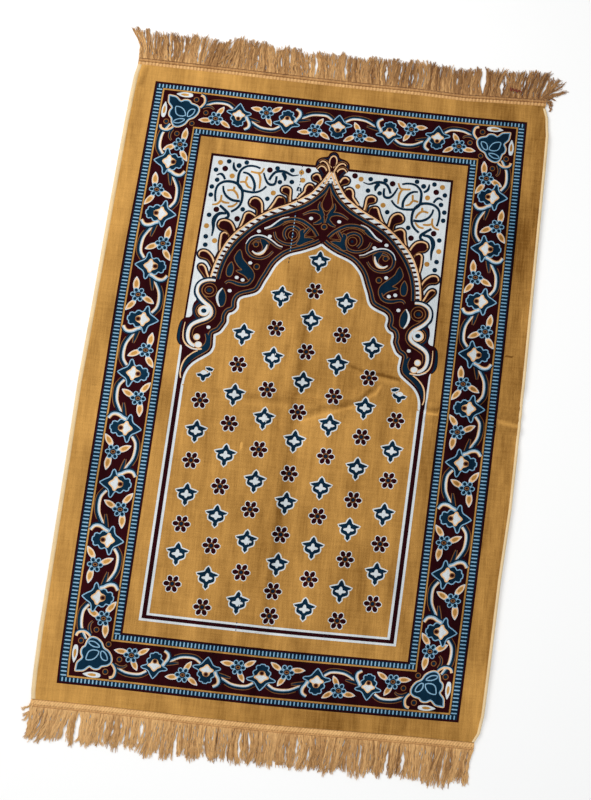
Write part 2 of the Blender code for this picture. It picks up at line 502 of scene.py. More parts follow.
def ladder(start, end, long):
    """Bars from one place to another, square to the way between them."""
    (x0, y0), (x1, y1) = start, end
    run = math.hypot(x1 - x0, y1 - y0)
    ax, ay = (x1 - x0) / run, (y1 - y0) / run
    count = round(run / BAR_PITCH)
    for i in range(count + 1):
        x, y = mix(x0, x1, i / count), mix(y0, y1, i / count)
        corners = [(0.5 * BAR_THICK * a, 0.5 * long * b) for a, b in BAR_HALF]
        lay("sky", [(x + a * ax - b * ay, y + a * ay + b * ax) for a, b in corners])


for yarn, half_wide, half_long in GUARD_STEPS:
    lay(yarn, oblong(half_wide, half_long, -half_long), across=False, down=False)
ladder((-289.4, 2.8), (-289.4, 458.6), 8.6)
ladder((-290.6, 464.6), (-2.8, 464.6), 6)
ladder((-219.9, 2.8), (-219.9, 391.2), 8.2)
ladder((-221, 396.3), (-2.8, 396.3), 7)

# Vine border: star flowers with a pale heart, facing in and out by turns, and
# between each two a stem, a curl, a small six-petalled flower and three leaves.
# One length of it is drawn with u across the border and v along it.
VINE_X = 254.6             # the middle of the side borders, from the pattern's
VINE_Y = 430.3             # the middle of the end borders
VINE_PITCH = 85.4          # from flower to flower along the sides
END_FLOWERS = (-239, -159, -82, 0)
END_SQUEEZE = 0.84         # the end borders' flowers are this much flatter

STAR_HALF = [(24.6, 0), (20.6, 3.8), (16.2, 6.8), (11.6, 9.6), (9.4, 14), (8.8, 18.6), (6.4, 22),
             (3.8, 21.4), (2, 18.4), (0.4, 14.4), (-1.8, 12.2), (-5.2, 14), (-9.6, 13.2), (-12.4, 9.2),
             (-15.8, 10.4), (-19.8, 8.4), (-20.2, 4.6), (-22.2, 3.4), (-22.6, 0)]
HEART_HALF = [(11.4, 0), (8.6, 3.6), (5.4, 6.2), (3.2, 10.6), (-0.4, 10.8), (-2.4, 7), (-6.4, 5.2),
              (-9.4, 3.2), (-10.4, 0)]
CORE_HALF = [(8.8, 0), (6.4, 2.8), (4, 4.8), (2, 8.6), (-0.2, 8.4), (-2, 4.4), (-2.8, 0)]
CURL = [(-0.6, 13.2), (-6.6, 15.6), (-11, 18.6), (-16.7, 20), (-21.7, 18.4), (-25.4, 12.6)]
SPUR = [(-3.5, 18), (-6.2, 29), (-7.8, 38.6)]
STEM = [(-8.2, 24), (-13.6, 33), (-17.4, 41), (-18.9, 50), (-18.9, 59), (-17.2, 66),
        (-11.6, 73.6)]
BLOSSOM = (11.8, 47.6)
LEAVES = (                 # where each starts and ends, and its width
    ((16, 41), (18, 19.2), 10.4),
    ((4.4, 49.6), (-13.4, 59.4), 9.8),
    ((14.6, 57), (26.8, 74), 9.6),
)


def blossom(x, y, petal_yarn, edge_yarn, hub_yarn, sizes, lay_it):
    """A small six-petalled flower: how far out, how long and wide its petals, its edge."""
    reach, long, wide, edge = sizes
    petals = []
    for turn in range(0, 360, 60):
        angle = math.radians(turn)
        petals.append((x + reach * math.cos(angle), y + reach * math.sin(angle), turn))
    for px, py, turn in petals:
        lay_it(edge_yarn, oval(px, py, long + edge, wide + edge, turn, 8))
    lay_it(hub_yarn, oval(x, y, 0.62 * reach, corners=10))
    for px, py, turn in petals:
        lay_it(petal_yarn, oval(px, py, long, wide, turn, 8))


def stripe(places, wide, ends=(1, 1), spread=0, aside=0):
    """A stripe of the vine, which needs fewer steps than the arch's wide curves."""
    return band(places, wide, ends, 2, spread, aside)


def vine(x, y, along, across, squeeze, stretch, flower, stem, late=0):
    """One length of the border vine. along and across are unit ways on the rug."""
    def place(points):
        return [(x + u * squeeze * across[0] + v * stretch * along[0],
                 y + u * squeeze * across[1] + v * stretch * along[1]) for u, v in points]

    if stem:
        lay("brown", place(stripe(STEM[1:], 1.1, (0.8, 0.6), aside=7)))
        lay("navy", place(stripe(STEM, 3.4, (1, 0.7), aside=4.2)))
        lay("sky", place(stripe(STEM, 1.2, aside=1.9)))
        lay("peach", place(stripe(STEM, 3.2, (0.6, 1), aside=-0.1)))
        lay("white", place(stripe(STEM, 1.6, (0.6, 1), aside=0.4)))
        for start, end, wide in LEAVES:
            start, end = (start[0], start[1] + late), (end[0], end[1] + late)
            lay("white", place(leaf(start, end, 0.94 * wide)))
            lay("peach", place(leaf(start, end, wide, 0.82)))
            lay("gold", place(leaf(start, end, wide, 0.52)))
        (bx, by), = place([(BLOSSOM[0], BLOSSOM[1] + late)])
        blossom(bx, by, "navy", "sky", "navy", (7.6, 3, 2.6, 1.3), lay)
        lay("brown", oval(bx, by, 3.5, 2.6, corners=10))
        lay("maroon", oval(bx, by, 2, 1.4, corners=8))
    if flower and stem:
        lay("brown", place(stripe(SPUR, 4.4, (1, 0.3), spread=1.1)))
        lay("navy", place(stripe(SPUR, 4.4, (1, 0.3))))
        lay("navy", place(stripe(CURL, 3.4, (0.8, 0.3), aside=-4.4)))
        lay("sky", place(stripe(CURL, 2.2, (1, 0.6), aside=-2.3)))
        lay("brown", place(stripe(CURL, 1.1, (0.4, 0.8), aside=2)))
        lay("peach", place(stripe(CURL, 3.6, (0.8, 0.8))))
        lay("white", place(stripe(CURL, 1.8, (0.8, 0.8), aside=-0.6)))
    if flower:
        star = curve(both_sides(STAR_HALF), steps=2)
        lay("sky", place(star))
        lay("navy", place(grown(star, -1.6)))
        lay("peach", place(curve(both_sides(HEART_HALF), steps=2)))
        lay("white", place(curve(both_sides(CORE_HALF), steps=2)))
        lay("brown", place(oval(-6.3, 0, 4.3, 4)))
        lay("maroon", place(oval(-6.3, 0, 2.7, 2.5, corners=10)))


for i in range(6):         # down the left side, from the corner to the middle
    vine(-VINE_X, VINE_PITCH * (5 - i), (0, -1), (1 if i % 2 == 0 else -1, 0), 1, 1,
         flower=i > 0, stem=i < 5, late=8 if i == 0 else 0)
for i, x in enumerate(END_FLOWERS):    # along the top, from the corner to the middle
    reach = (END_FLOWERS[i + 1] - x) / VINE_PITCH if i < 3 else 1
    vine(x, VINE_Y, (1, 0), (0, -1 if i % 2 == 0 else 1), END_SQUEEZE, reach, flower=i > 0, stem=i < 3)

# Corner flowers: a large navy bloom set slantwise in each corner of the border,
# with three petals drawn in a pale line, four cream leaves and small ringed eyes.
CORNER_SUM = 177.7         # x + y along the corner's slanting middle line
BLOOM_HALF = [(-273.9, 451.6), (-267.6, 451.6), (-262, 450.9), (-258.4, 449.1), (-255.4, 446.2),
              (-252.6, 444), (-249.6, 445.9), (-245.6, 447.1), (-240.9, 446.9), (-237.2, 445),
              (-235.2, 442.3), (-231.4, 441.3), (-226.9, 440), (-223.2, 437.4), (-221.2, 434.3),
              (-220.7, 430.3), (-221.9, 425.1), (-224.9, 420.1), (-228.4, 416.4), (-231.8, 414.6),
              (-235, 412.7)]
BLOOM_PETALS = (
    [(-259, 433.3), (-250.8, 432.5), (-245, 427.9), (-242.2, 419.8), (-250.8, 418.3), (-256.8, 421.3),
     (-259, 427.9)],
    [(-238.8, 418.9), (-239, 425.5), (-235.2, 430.9), (-228.8, 431.5), (-229.8, 425.5), (-234, 420.1)],
    [(-242.4, 413.5), (-250.8, 413.5), (-257.8, 409.9), (-258.2, 406.3), (-250.8, 406.3),
     (-244.8, 409.9)],
)
CORNER_STALK = [(-222.6, 456), (-217.9, 454.4), (-215.8, 450), (-215.6, 444.6), (-218, 440),
                (-221.6, 436)]
CORNER_SPUR = [(-217.4, 435.6), (-210.4, 438.8), (-203.4, 438.4), (-199, 435)]


def over_corner(points):
    """The same shape on the other side of the corner's slanting line."""
    return [(CORNER_SUM - y, CORNER_SUM - x) for x, y in points]


def lay_corner(yarn, points):
    """Lays a shape in all four corners, and its like across the slanting line."""
    lay(yarn, points)
    lay(yarn, over_corner(points))


def eye(x, y, size, lay_it=lay_inner):
    """A small navy spot in a brown ring."""
    lay_it("brown", oval(x, y, size))
    lay_it("maroon", oval(x, y, 0.74 * size, corners=10))
    lay_it("navy", oval(x, y, 0.52 * size, corners=8))


lay_corner("brown", band(CORNER_SPUR, 2.6, (1, 0.3), spread=1.1))
lay_corner("navy", band(CORNER_SPUR, 2.6, (1, 0.3)))
lay_corner("navy", band(CORNER_STALK, 3.6, (0.5, 0.6), aside=2.8))
lay_corner("peach", band(CORNER_STALK, 3.2, (1.3, 0.8)))
lay_corner("sky", band(CORNER_STALK, 1.2, (0.4, 1), aside=1.6))
bloom = curve(BLOOM_HALF + over_corner(BLOOM_HALF)[-2:0:-1], steps=2)
lay("peach", bloom)
lay("sky", grown(bloom, -1.1))
lay("navy", grown(bloom, -2.8))
for outline in BLOOM_PETALS:
    petal = curve(outline, steps=2)
    lay("sky", grown(petal, 0.8))
    lay("navy", grown(petal, -0.8))
lay_corner("white", leaf((-235.4, 454.2), (-261.6, 454), 8.2))
lay_corner("gold", leaf((-235.4, 454.2), (-261.6, 454), 8.2, 0.5))
eye(-229, 448, 4.5, lay_corner)
eye(-211, 428.2, 4.2, lay_corner)
eye(-230, 408, 4.2, lay)

# Inner frame: a thin maroon line around the white ground above the arch, and
# below it a maroon line between two white ones down the niche's sides and foot.
FRAME_OUTER = [(-192, 363.4), (192, 363.4), (193.9, 95), (191.2, 60), (-191.2, 60), (-193.9, 95)]
FRAME_INNER = [(-188.2, 359.3), (188.2, 359.3), (191, 95), (191, 60), (-191, 60), (-191, 95)]
SIDE_STEPS = (             # yarn, half its width above and below, and its foot
    ("white", 193.2, 191.9, -368.4),
    ("maroon", 189.6, 188.2, -364.9),
    ("white", 183.1, 181.7, -359.6),
    ("gold", 179.2, 177.8, -356.3),
)
SIDE_TOP = 60

lay("maroon", straight(FRAME_OUTER), across=False, down=False)
lay("white", straight(FRAME_INNER), across=False, down=False)
for yarn, upper, lower, foot in SIDE_STEPS:
    lay(yarn, straight([(-lower, foot), (lower, foot), (upper, SIDE_TOP), (-upper, SIDE_TOP)]),
        across=False, down=False)

# Spandrels: the white ground on each side of the arch's point, filled with navy
# scrolls, small gold sprigs and round dots, which are woven in like all the rest.
SPANDREL_DOTS = (
    ("navy", 3.9, ((-164.2, 351.2), (-136.4, 352.3), (-182.7, 335.3), (-178.5, 319.1), (-185.1, 307.2),
                   (-184.9, 293.8), (-131.8, 275.6), (-96, 297), (-80.2, 326.2), (-61.6, 328.4),
                   (-63.4, 347.6), (-87, 348.2), (-182.6, 261), (-182.6, 225.8), (-181.4, 212.4))),
    ("maroon", 4.7, ((-168.6, 338.7), (-98.6, 344.2), (-38.2, 350), (-172.6, 271), (-138.2, 259.4))),
    ("gold", 4.2, ((-177.4, 347.9), (-156, 327.9), (-88, 307.4), (-44.8, 333.2), (-48.4, 345.8),
                   (-184, 243), (-168, 220.4))),
)
NAVY_SCROLLS = (           # places, width, and how thin its ends are
    ([(-113.6, 345), (-120.2, 347.2), (-129, 347.7), (-136.7, 345.5), (-142.8, 340), (-145.7, 333.4),
      (-146, 324.6), (-145.5, 316.9), (-142.2, 311.4), (-136.7, 306.8), (-129, 305.2), (-119.1, 304.9),
      (-111.4, 307), (-104.8, 311.4), (-100.2, 317.2)], 3.1, (0.7, 0.7)),
    ([(-140, 335.6), (-133.4, 335), (-126.8, 331.2), (-121.9, 324.6), (-118.6, 315.8), (-119.1, 307)],
     2.9, (0.7, 1)),
    ([(-175.8, 283.5), (-177.6, 291.6), (-178.2, 300.4), (-176.9, 308.1), (-173, 313.6), (-166.4, 317.5),
      (-157.6, 318.6), (-148.8, 317.3), (-142.2, 313.3), (-137.3, 306.5), (-135.4, 298.2), (-135.4, 289.4),
      (-137.3, 281.7), (-142.2, 275.1), (-149.5, 269.6)], 3.2, (0.7, 0.8)),
    ([(-167.5, 310.3), (-165.9, 302.6), (-160.9, 294.9), (-153.2, 290), (-146.6, 288.3), (-138, 288.3)],
     2.9, (0.7, 1)),
    ([(-156.4, 350.4), (-156, 344.4), (-153.8, 339.5), (-148.9, 336.2)], 3.2, (0.5, 0.7)),
    ([(-180.4, 326.6), (-175.2, 329.4), (-170.3, 327.4), (-166.2, 321)], 3, (0.4, 0.8)),
    ([(-107.6, 338.6), (-103.7, 329.5), (-99.3, 323), (-94.5, 320.4), (-89.2, 321.2), (-86.8, 325.4),
      (-86.6, 335.4)], 3.1, (0.6, 0.8)),
    ([(-97.4, 327.6), (-94, 335.6), (-88.6, 342), (-80.8, 344.2), (-72.4, 343.2), (-64, 339.6),
      (-59, 339.2), (-52.4, 341.2)], 3.3, (0.8, 0.3)),
    ([(-77.6, 342), (-73.2, 335.4), (-73, 329)], 4.2, (1, 0.3)),
    ([(-168.4, 278.2), (-160.4, 272.4), (-153.6, 266.4), (-152.6, 261), (-157.4, 258.2)], 3.4, (0.8, 0.8)),
    ([(-156.4, 266.2), (-166, 265.2), (-172, 259.6), (-174.2, 250.6), (-172.8, 240), (-173.6, 227.4)],
     5, (0.5, 0.3)),
)
GOLD_SPRIGS = (
    [(-128, 338.4), (-118, 337.3), (-111.4, 338.4), (-107.6, 346.5)],
    [(-116.2, 337.6), (-111.4, 329), (-110.9, 312)],
    [(-142.4, 319.4), (-134, 320.2), (-129.4, 313.8), (-122.8, 311)],
    [(-132.3, 330), (-132.8, 325), (-133.8, 320)],
    [(-160.4, 303.6), (-150.6, 304.8), (-143.6, 298.2), (-141.5, 292)],
    [(-149.9, 311), (-150, 307.6), (-150.4, 304.4)],
    [(-168, 295.4), (-168.2, 286.1), (-173, 280), (-180.2, 278.2)],
    [(-168, 286.1), (-162, 283.7), (-154, 283.6)],
    [(-156, 277.7), (-147.7, 279.2), (-141.6, 285.6)],
)
for places in GOLD_SPRIGS:
    lay_inner("gold", band(places, 3.8, (0.8, 0.7)))
for places, wide, ends in NAVY_SCROLLS:
    lay_inner("navy", band(places, 1.5 * wide, ends))
for yarn, size, spots in SPANDREL_DOTS:
    for x, y in spots:
        lay_inner(yarn, oval(x, y, size))
lay_inner("navy", oval(-147.7, 346, 4.2))
lay_inner("navy", oval(-50.8, 318.2, 4.2, 1.7, 80), across=False)
lay_inner("navy", oval(-46, 317.4, 4, 1.7, 100), across=False)

# Arch: a pointed arch in maroon between a rope-like stripe above and the niche's
# cusped edge below, both edged with navy lines, and hooked leaves along its outside.
ROPE = [(-1.6, 350), (-8.4, 336.4), (-15.4, 325), (-25, 312), (-35, 304.2), (-45, 297.2),
        (-55, 291.2), (-65, 286.2), (-75, 281.6), (-85, 276.2), (-95, 269.8), (-105, 262.6),
        (-115, 254.6), (-124.4, 245.4), (-134, 235.6), (-144.4, 221), (-152.4, 203),
        (-158.2, 183.8), (-161.4, 166), (-162, 156.6)]
NICHE_EDGE = (             # the niche's own edge: three cusps on each side
    [(-1.2, 232.5), (-10, 226.5), (-25, 219), (-48, 210.5), (-60, 201), (-68.5, 190),
     (-75, 175), (-80.5, 163), (-85, 151), (-90.5, 144), (-100, 139.4), (-109.6, 136.2)],
    [(-109.6, 136.2), (-115.6, 132.4), (-117.4, 126), (-116.6, 117.4), (-121.4, 110),
     (-127.6, 106.8)],
    [(-127.6, 106.8), (-129.4, 102), (-128.8, 93.6), (-132, 85.8), (-137.6, 76.4), (-145.6, 71.2)],
    [(-145.6, 71.2), (-144.8, 62), (-144.4, 52.6), (-147.8, 43.6), (-156, 36.4), (-164.6, 30.2),
     (-172.8, 23), (-178.6, 14.6), (-182.2, 4), (-183.4, -10)],
)
OUTER_SIDE = [(-162, 160.6), (-170.5, 161), (-180, 157), (-186.4, 149), (-188.4, 140),
              (-186.8, 131), (-182, 124.5), (-184.9, 119), (-186.4, 110), (-185.2, 100),
              (-188.5, 95.5), (-193, 94.5), (-197.5, 92.5), (-201.6, 86.5), (-203.4, 76),
              (-203.6, 64), (-202, 57), (-197.6, 51), (-193.2, 48.6), (-192.4, 30),
              (-191.8, -9)]
niche_line = []
for part in NICHE_EDGE:
    niche_line += curve(part, closed=False, steps=3)
lay_inner("maroon", curve(ROPE, closed=False, steps=3) + curve(OUTER_SIDE, closed=False, steps=3)
          + niche_line[::-1])
lay_inner("maroon", [(-6, 345), (3.6, 345), (3.6, 236), (-6, 236)], across=False)

# the palmette behind the arch's point, where it breaks through the frame
PALMETTE_HALF = [(-1.2, 385.4), (-5.4, 384.4), (-8.8, 381), (-10.8, 376.6), (-16.4, 374.6),
                 (-22.6, 372.6), (-27, 368.2), (-28.6, 362), (-27.6, 356), (-23.4, 351.6),
                 (-19.4, 346.6), (-14, 341), (-1.2, 338)]
palmette = curve(PALMETTE_HALF + [(2 * AXIS_X - x, y) for x, y in PALMETTE_HALF[-2:0:-1]], steps=2)
for yarn, by in (("maroon", 0), ("navy", -2.6), ("maroon", -4.2)):
    lay_inner(yarn, grown(palmette, by), across=False)
lay_inner("peach", oval(AXIS_X, 369, 10.6, 6.8, 90), across=False)
lay_inner("maroon", oval(AXIS_X, 368.6, 8.8, 5, 90), across=False)
for line in ([(-22, 364.4), (-18, 367.6), (-11.6, 365.6), (-7, 359), (-4.8, 351.6)],
             [(-24.4, 354), (-19.6, 359), (-12.6, 357.4), (-8.4, 350), (-7.4, 343)]):
    lay_inner("peach", band(line, 2.3, (0.6, 1)))
    lay_inner("brown", band(line, 1.1, aside=3.2))
lay_inner("maroon", leaf((AXIS_X, 346), (AXIS_X, 362), 5), across=False)

HOOKS = (                  # from the rope around the head and back, and how much of it is pale
    ([(-10, 327), (-15.4, 336.6), (-19.6, 344), (-25.4, 345.6), (-30.2, 341.8), (-28.6, 336),
      (-23, 333.6), (-19, 331), (-17.4, 324)], 5),
    ([(-50, 302), (-44.4, 309.6), (-40.2, 315), (-39.4, 321.8), (-36.4, 327), (-31.6, 328.4),
      (-27.4, 326), (-25.4, 320.6), (-22, 311)], 7),
    ([(-58, 290), (-60.2, 303), (-60.6, 312), (-62.6, 317.8), (-69.2, 320.2), (-75.4, 317.4),
      (-75.4, 311.6), (-70, 308.6), (-65, 306.6), (-62.8, 299), (-62.4, 290)], 7),
    ([(-96, 272), (-90, 282.2), (-84.4, 293), (-81.6, 300), (-78, 302.8), (-73.2, 302),
      (-68.6, 298.6), (-66.6, 288)], 6),
    ([(-99.6, 268), (-101.4, 281), (-103, 288.6), (-107.6, 294.6), (-115, 297), (-121.2, 293.2),
      (-122.9, 287), (-119.4, 282.2), (-113.6, 280), (-109.4, 276.6), (-108.6, 268)], 7),
    ([(-132.6, 242), (-131, 251), (-128.6, 260.4), (-127, 268.6), (-121.4, 272.2), (-114.6, 270),
      (-109.6, 266.6), (-106, 258)], 7),
    ([(-134, 232), (-139, 240.8), (-142.8, 248.2), (-148.4, 254), (-157, 256), (-164.4, 253.2),
      (-166.4, 246.6), (-161.8, 240.4), (-153, 238.2), (-147, 232), (-142, 224)], 7),
    ([(-157, 202), (-159.4, 214.6), (-159.6, 225.4), (-158.8, 232.8), (-154, 236.2), (-149.2, 233.6),
      (-146, 226), (-144, 216)], 6),
    ([(-160, 178), (-165.4, 190.8), (-169.8, 197), (-176.6, 202.4), (-184, 203.4), (-188.8, 200),
      (-189.3, 195.4), (-185.4, 191.6), (-179, 190.6), (-172.6, 187.6), (-165.6, 178)], 7),
    ([(-162, 156), (-167.4, 160.6), (-171.6, 167.6), (-175.8, 176.8), (-181.2, 180.8), (-185.8, 179.2),
      (-185.8, 174.4), (-179.6, 167), (-172.6, 159)], 6),
)
hooks = [(curve(line, closed=False, steps=3), pale) for line, pale in HOOKS]
for hook, pale in hooks:
    lay_inner("navy", grown(hook, 3.3))
for hook, pale in hooks:
    lay_inner("maroon", grown(hook, 1.8))
lay_inner("maroon", band(ROPE, 16.8))
lay_inner("brown", band(ROPE, 1, aside=-6.1))
for line, pale in HOOKS:
    lay_inner("brown", band(line[pale - 2:], 1.4, (1, 0.8)))
    lay_inner("brown", band(grown(line, -0.7)[:pale], 3.4, (1, 0.7)))
    lay_inner("peach", band(grown(line, -0.5)[:pale], 2.2, (1, 0.6)))
lay_inner("maroon", band(ROPE, 13))
lay_inner("peach", band(ROPE, 9.2))
lay_inner("white", band(ROPE, 5.6, aside=0.9))
ROPE_FOOT = 163.8          # the height of its lowest dark mark, and how far up to the next
ROPE_PITCH = 7.05
ROPE_MARKS = 26
ROPE_SPAN = 3              # the rope's slope is read over this height
ROPE_MARK_HALF = 3.5       # half a mark's length where the rope stands upright, and the
ROPE_MARK_MOST = 8         # most that it grows to where the rope leans over
ROPE_MARK_THICK = 1.9      # half its thickness
rope_path = curve(ROPE, closed=False, steps=8)[::-1]
rope_rows = [(y, x) for x, y in rope_path]
for i in range(ROPE_MARKS):
    y = ROPE_FOOT + i * ROPE_PITCH
    x = read(rope_rows, y)
    slope = math.atan2(ROPE_SPAN, read(rope_rows, y + ROPE_SPAN) - x)
    long = min(ROPE_MARK_HALF / math.sin(slope), ROPE_MARK_MOST)
    lay_inner("maroon", oval(x + 1.2, y - 1.2, long, ROPE_MARK_THICK, -6, 10))
for yarn, top, half, foot in (("peach", 353, 10, 331), ("white", 346, 6.6, 331.6)):
    lay_inner(yarn, [(AXIS_X, top), (AXIS_X + half, foot), (AXIS_X - half, foot)], across=False)
for x, y in ((-1.2, 341), (-4.2, 335.6), (1.8, 335.6)):
    lay_inner("maroon", oval(x, y, 1.9, 1, corners=8), across=False)
NAVY_INSIDE = [(-1.2, 333), (-8, 319), (-16.4, 308.4), (-28.4, 297.6), (-42, 288.6),
               (-60, 279.8), (-80, 270.4), (-95.2, 261.4), (-108, 251), (-121.6, 236.8),
               (-133.2, 222.2), (-141.6, 207.8), (-147.6, 193.4), (-151.8, 176.6), (-153.6, 160)]
lay_inner("maroon", band(NAVY_INSIDE, 8))
lay_inner("brown", band(NAVY_INSIDE, 6.4))
lay_inner("navy", band(NAVY_INSIDE, 4.4))

TAPER = [(-158.8, 72.4), (-155.2, 63), (-156.4, 53.8), (-162.6, 46), (-172.8, 37.6), (-180, 29.4),
         (-185, 20), (-186.8, 9)]
for part in NICHE_EDGE[:3]:
    lay_inner("brown", band(part, 21.4))
    lay_inner("brown", oval(*part[-1], 10.7, corners=16))
lay_inner("brown", band(TAPER, 8.6, (0.4, 0.3), spread=1))
lay_inner("navy", band(TAPER, 8.6, (0.4, 0.3)))
for yarn, wide, thinner in (("navy", 19.2, 0.3), ("brown", 12, 0.5), ("maroon", 9.6, 1), ("white", 3.6, 1)):
    for part in NICHE_EDGE:
        lay_inner(yarn, band(part, wide, (1, 1 if part is not NICHE_EDGE[3] else thinner)))
    for part in NICHE_EDGE[:3]:
        lay_inner(yarn, oval(*part[-1], 0.5 * wide, corners=16))
lay_inner("gold", niche_line + [(-183.4, -12), (AXIS_X, -12)])
for part in NICHE_EDGE:
    lay_inner("white", band(part, 3.6))
for part in NICHE_EDGE[:3]:
    lay_inner("white", oval(*part[-1], 1.8, corners=8))

# Inside the arch: two coils on each side, a long navy leaf, smaller leaves, a
# palmette below the arch's point, small ringed eyes and white berries.
SPIRAL_UPPER = [(-66, 264.6), (-56.7, 267.8), (-47.5, 268.8), (-36, 267), (-24.5, 260.6),
                (-15.3, 253), (-9.4, 245.4)]
SPIRAL_LEAF = [(-91, 247.4), (-81, 252.6), (-73, 258.6), (-65, 264.4), (-55, 268)]
SPIRAL_INNER = [(-77.4, 244.8), (-74, 235.6), (-65.9, 229.9), (-55.6, 227.2), (-45.2, 228.7),
                (-38.4, 234.5), (-36.2, 242.5), (-38, 250.2), (-43.6, 255), (-51, 256.6),
                (-58.6, 253.4), (-62, 247), (-61.4, 240.4), (-57, 234.4)]
HEEL = [(-38, 250), (-33, 254), (-30, 247.4), (-29.6, 240.4), (-23, 240.6), (-14.6, 238.6),
        (-22, 235), (-29, 231.6), (-35, 227.6), (-41, 228.6), (-37.6, 236), (-36.8, 243)]
SPIRAL_LOWER = [(-62, 219.4), (-70, 221.6), (-77.4, 226.4), (-86, 231.4), (-95.4, 234.2),
                (-104.4, 233.6), (-112.4, 228.4), (-116.4, 219.8), (-115.2, 209.8), (-108.6, 202.6),
                (-99, 199.6), (-89, 200.8), (-80.8, 206), (-75.4, 213.2)]
SPIRAL_EYE = [(-99, 208.6), (-92.6, 211), (-88.6, 216.6), (-90.4, 223.4), (-96.6, 227.6),
              (-104, 226.4), (-108.4, 220.6)]
LONG_LEAF = [(-126.6, 210.4), (-131.4, 203), (-133.2, 196.6), (-130, 189.6), (-123.6, 182.6),
             (-118.4, 178.8), (-122.6, 177.4), (-127.6, 176.2), (-121.4, 173.2), (-114.4, 170.4),
             (-109.6, 166.8), (-105.6, 162.6), (-100.8, 162), (-98.8, 168.4), (-99.4, 174),
             (-103, 180), (-109.4, 186), (-115.4, 191.6), (-120.8, 197.4), (-123, 203.4)]
LONG_TAIL = [(-101.6, 165.6), (-105.4, 158.8), (-112.6, 155.4), (-122, 155.6), (-130.6, 158),
             (-137.6, 158.2), (-141.6, 154.6)]


def edged(yarn, edge_yarn, edge, places, wide, ends=(1, 1), across=True):
    """A stripe with a thin edge of another yarn on both sides."""
    lay_inner(edge_yarn, band(places, wide, ends, spread=edge), across)
    lay_inner(yarn, band(places, wide, ends), across)


def edged_shape(yarn, edge_yarn, edge, outline, across=True):
    """A closed shape with a thin edge of another yarn."""
    lay_inner(edge_yarn, grown(outline, edge), across)
    lay_inner(yarn, outline, across)


lay_inner("brown", band([(-66, 256.6), (-57, 262.4), (-46, 264), (-36, 261), (-28, 254.6)], 1.1))
edged("navy", "brown", 1.1, SPIRAL_LEAF, 6.8, (0.1, 0.6))
edged("navy", "brown", 1.1, SPIRAL_UPPER, 4.2, (0.9, 0.8))
lay_inner("white", band([(-93.6, 248.4), (-84, 253.4), (-75.6, 261.6), (-67.4, 268.4), (-57.6, 271.4)],
                        2.4, (1.2, 0.4)))
edged("navy", "brown", 1.1, SPIRAL_INNER, 4, (0.5, 0.7))
edged_shape("navy", "brown", 1.1, curve(HEEL, steps=2))
lay_inner("brown", oval(-48.2, 243.2, 7.6, corners=16))
lay_inner("maroon", oval(-48.2, 243.2, 6.5, corners=14))
lay_inner("navy", oval(-47.6, 243, 2.2, corners=8))
edged_shape("maroon", "brown", 1.2, [(-20.5, 254), (-13, 243.6), (-28, 243.8)])
edged("navy", "brown", 1, [(-24.5, 256.4), (-27.6, 252.4), (-30.4, 247.6)], 3.6, (0.6, 0.8))
edged("navy", "brown", 1.1, SPIRAL_LOWER, 4, (0.4, 0.4))
lay_inner("white", band(SPIRAL_LOWER[:8], 2.2, (0.5, 0.5), aside=-2.7))
edged("navy", "brown", 1, SPIRAL_EYE, 3.2, (0.4, 0.5))
edged_shape("navy", "brown", 1, [(-83, 225.4), (-90, 230.8), (-98, 232.2), (-95.6, 226), (-92, 219),
                                  (-92.4, 213), (-87.4, 211.4), (-84.4, 217)])
lay_inner("peach", band([(-107.6, 210.6), (-102, 206.6), (-95, 207), (-89.6, 211.4), (-86.8, 217.4),
                         (-85.8, 223)], 5.6, (0.3, 0.3)))
lay_inner("white", band([(-107.4, 210.8), (-102, 207.4), (-95.4, 207.8), (-90, 212), (-87.2, 217.6),
                         (-86, 222.6)], 3.8, (0.3, 0.3)))
lay_inner("brown", oval(-103, 221.6, 4.8))
lay_inner("maroon", oval(-103, 221.6, 3.6, corners=10))
lay_inner("navy", oval(-103, 221.6, 2.2, corners=8))
edged_shape("navy", "brown", 1.2, curve(LONG_LEAF, steps=2))
edged("navy", "brown", 1.1, LONG_TAIL, 4.2, (1, 0.4))
edged_shape("navy", "brown", 1.2, leaf((-137.8, 166.4), (-136.8, 189), 10))
APEX_LEAVES = (
    ([(-37, 277.6), (-27, 283), (-16.5, 284.4), (-8.6, 281.4), (-5.6, 274.6), (-4.4, 267.6)], (0.2, 0.7)),
    ([(-12, 301), (-13, 293.6), (-9.4, 286.6), (-5.4, 278.6)], (0.2, 1)),
    ([(-19, 264), (-12.6, 266.2), (-7.4, 270.6), (-4.6, 275.6)], (0.2, 0.8)),
)
for places, ends in APEX_LEAVES:
    lay_inner("brown", band(places, 5.2, ends, spread=1.1))
for places, ends in APEX_LEAVES:
    lay_inner("navy", band(places, 5.2, ends))
eye(-1.2, 261.4, 5.2, lambda yarn, spot: lay_inner(yarn, spot, across=False))
eye(-97, 186, 5.2)
for x, y in ((-23.4, 272.4), (-101.6, 243.2), (-83.6, 236.8), (-107.8, 191), (-125.2, 165.6),
             (-115.6, 162.6), (-133, 143.4), (-157, 82.6)):
    lay_inner("white", oval(x, y, 3.2, 2.7, corners=10))
drop = curve([(-1.2, 327), (-4.6, 314), (-8.6, 302), (-7.4, 292.6), (-1.2, 287), (5, 292.6),
              (6.2, 302), (2.2, 314)], steps=2)
edged_shape("maroon", "brown", 1.1, drop, across=False)

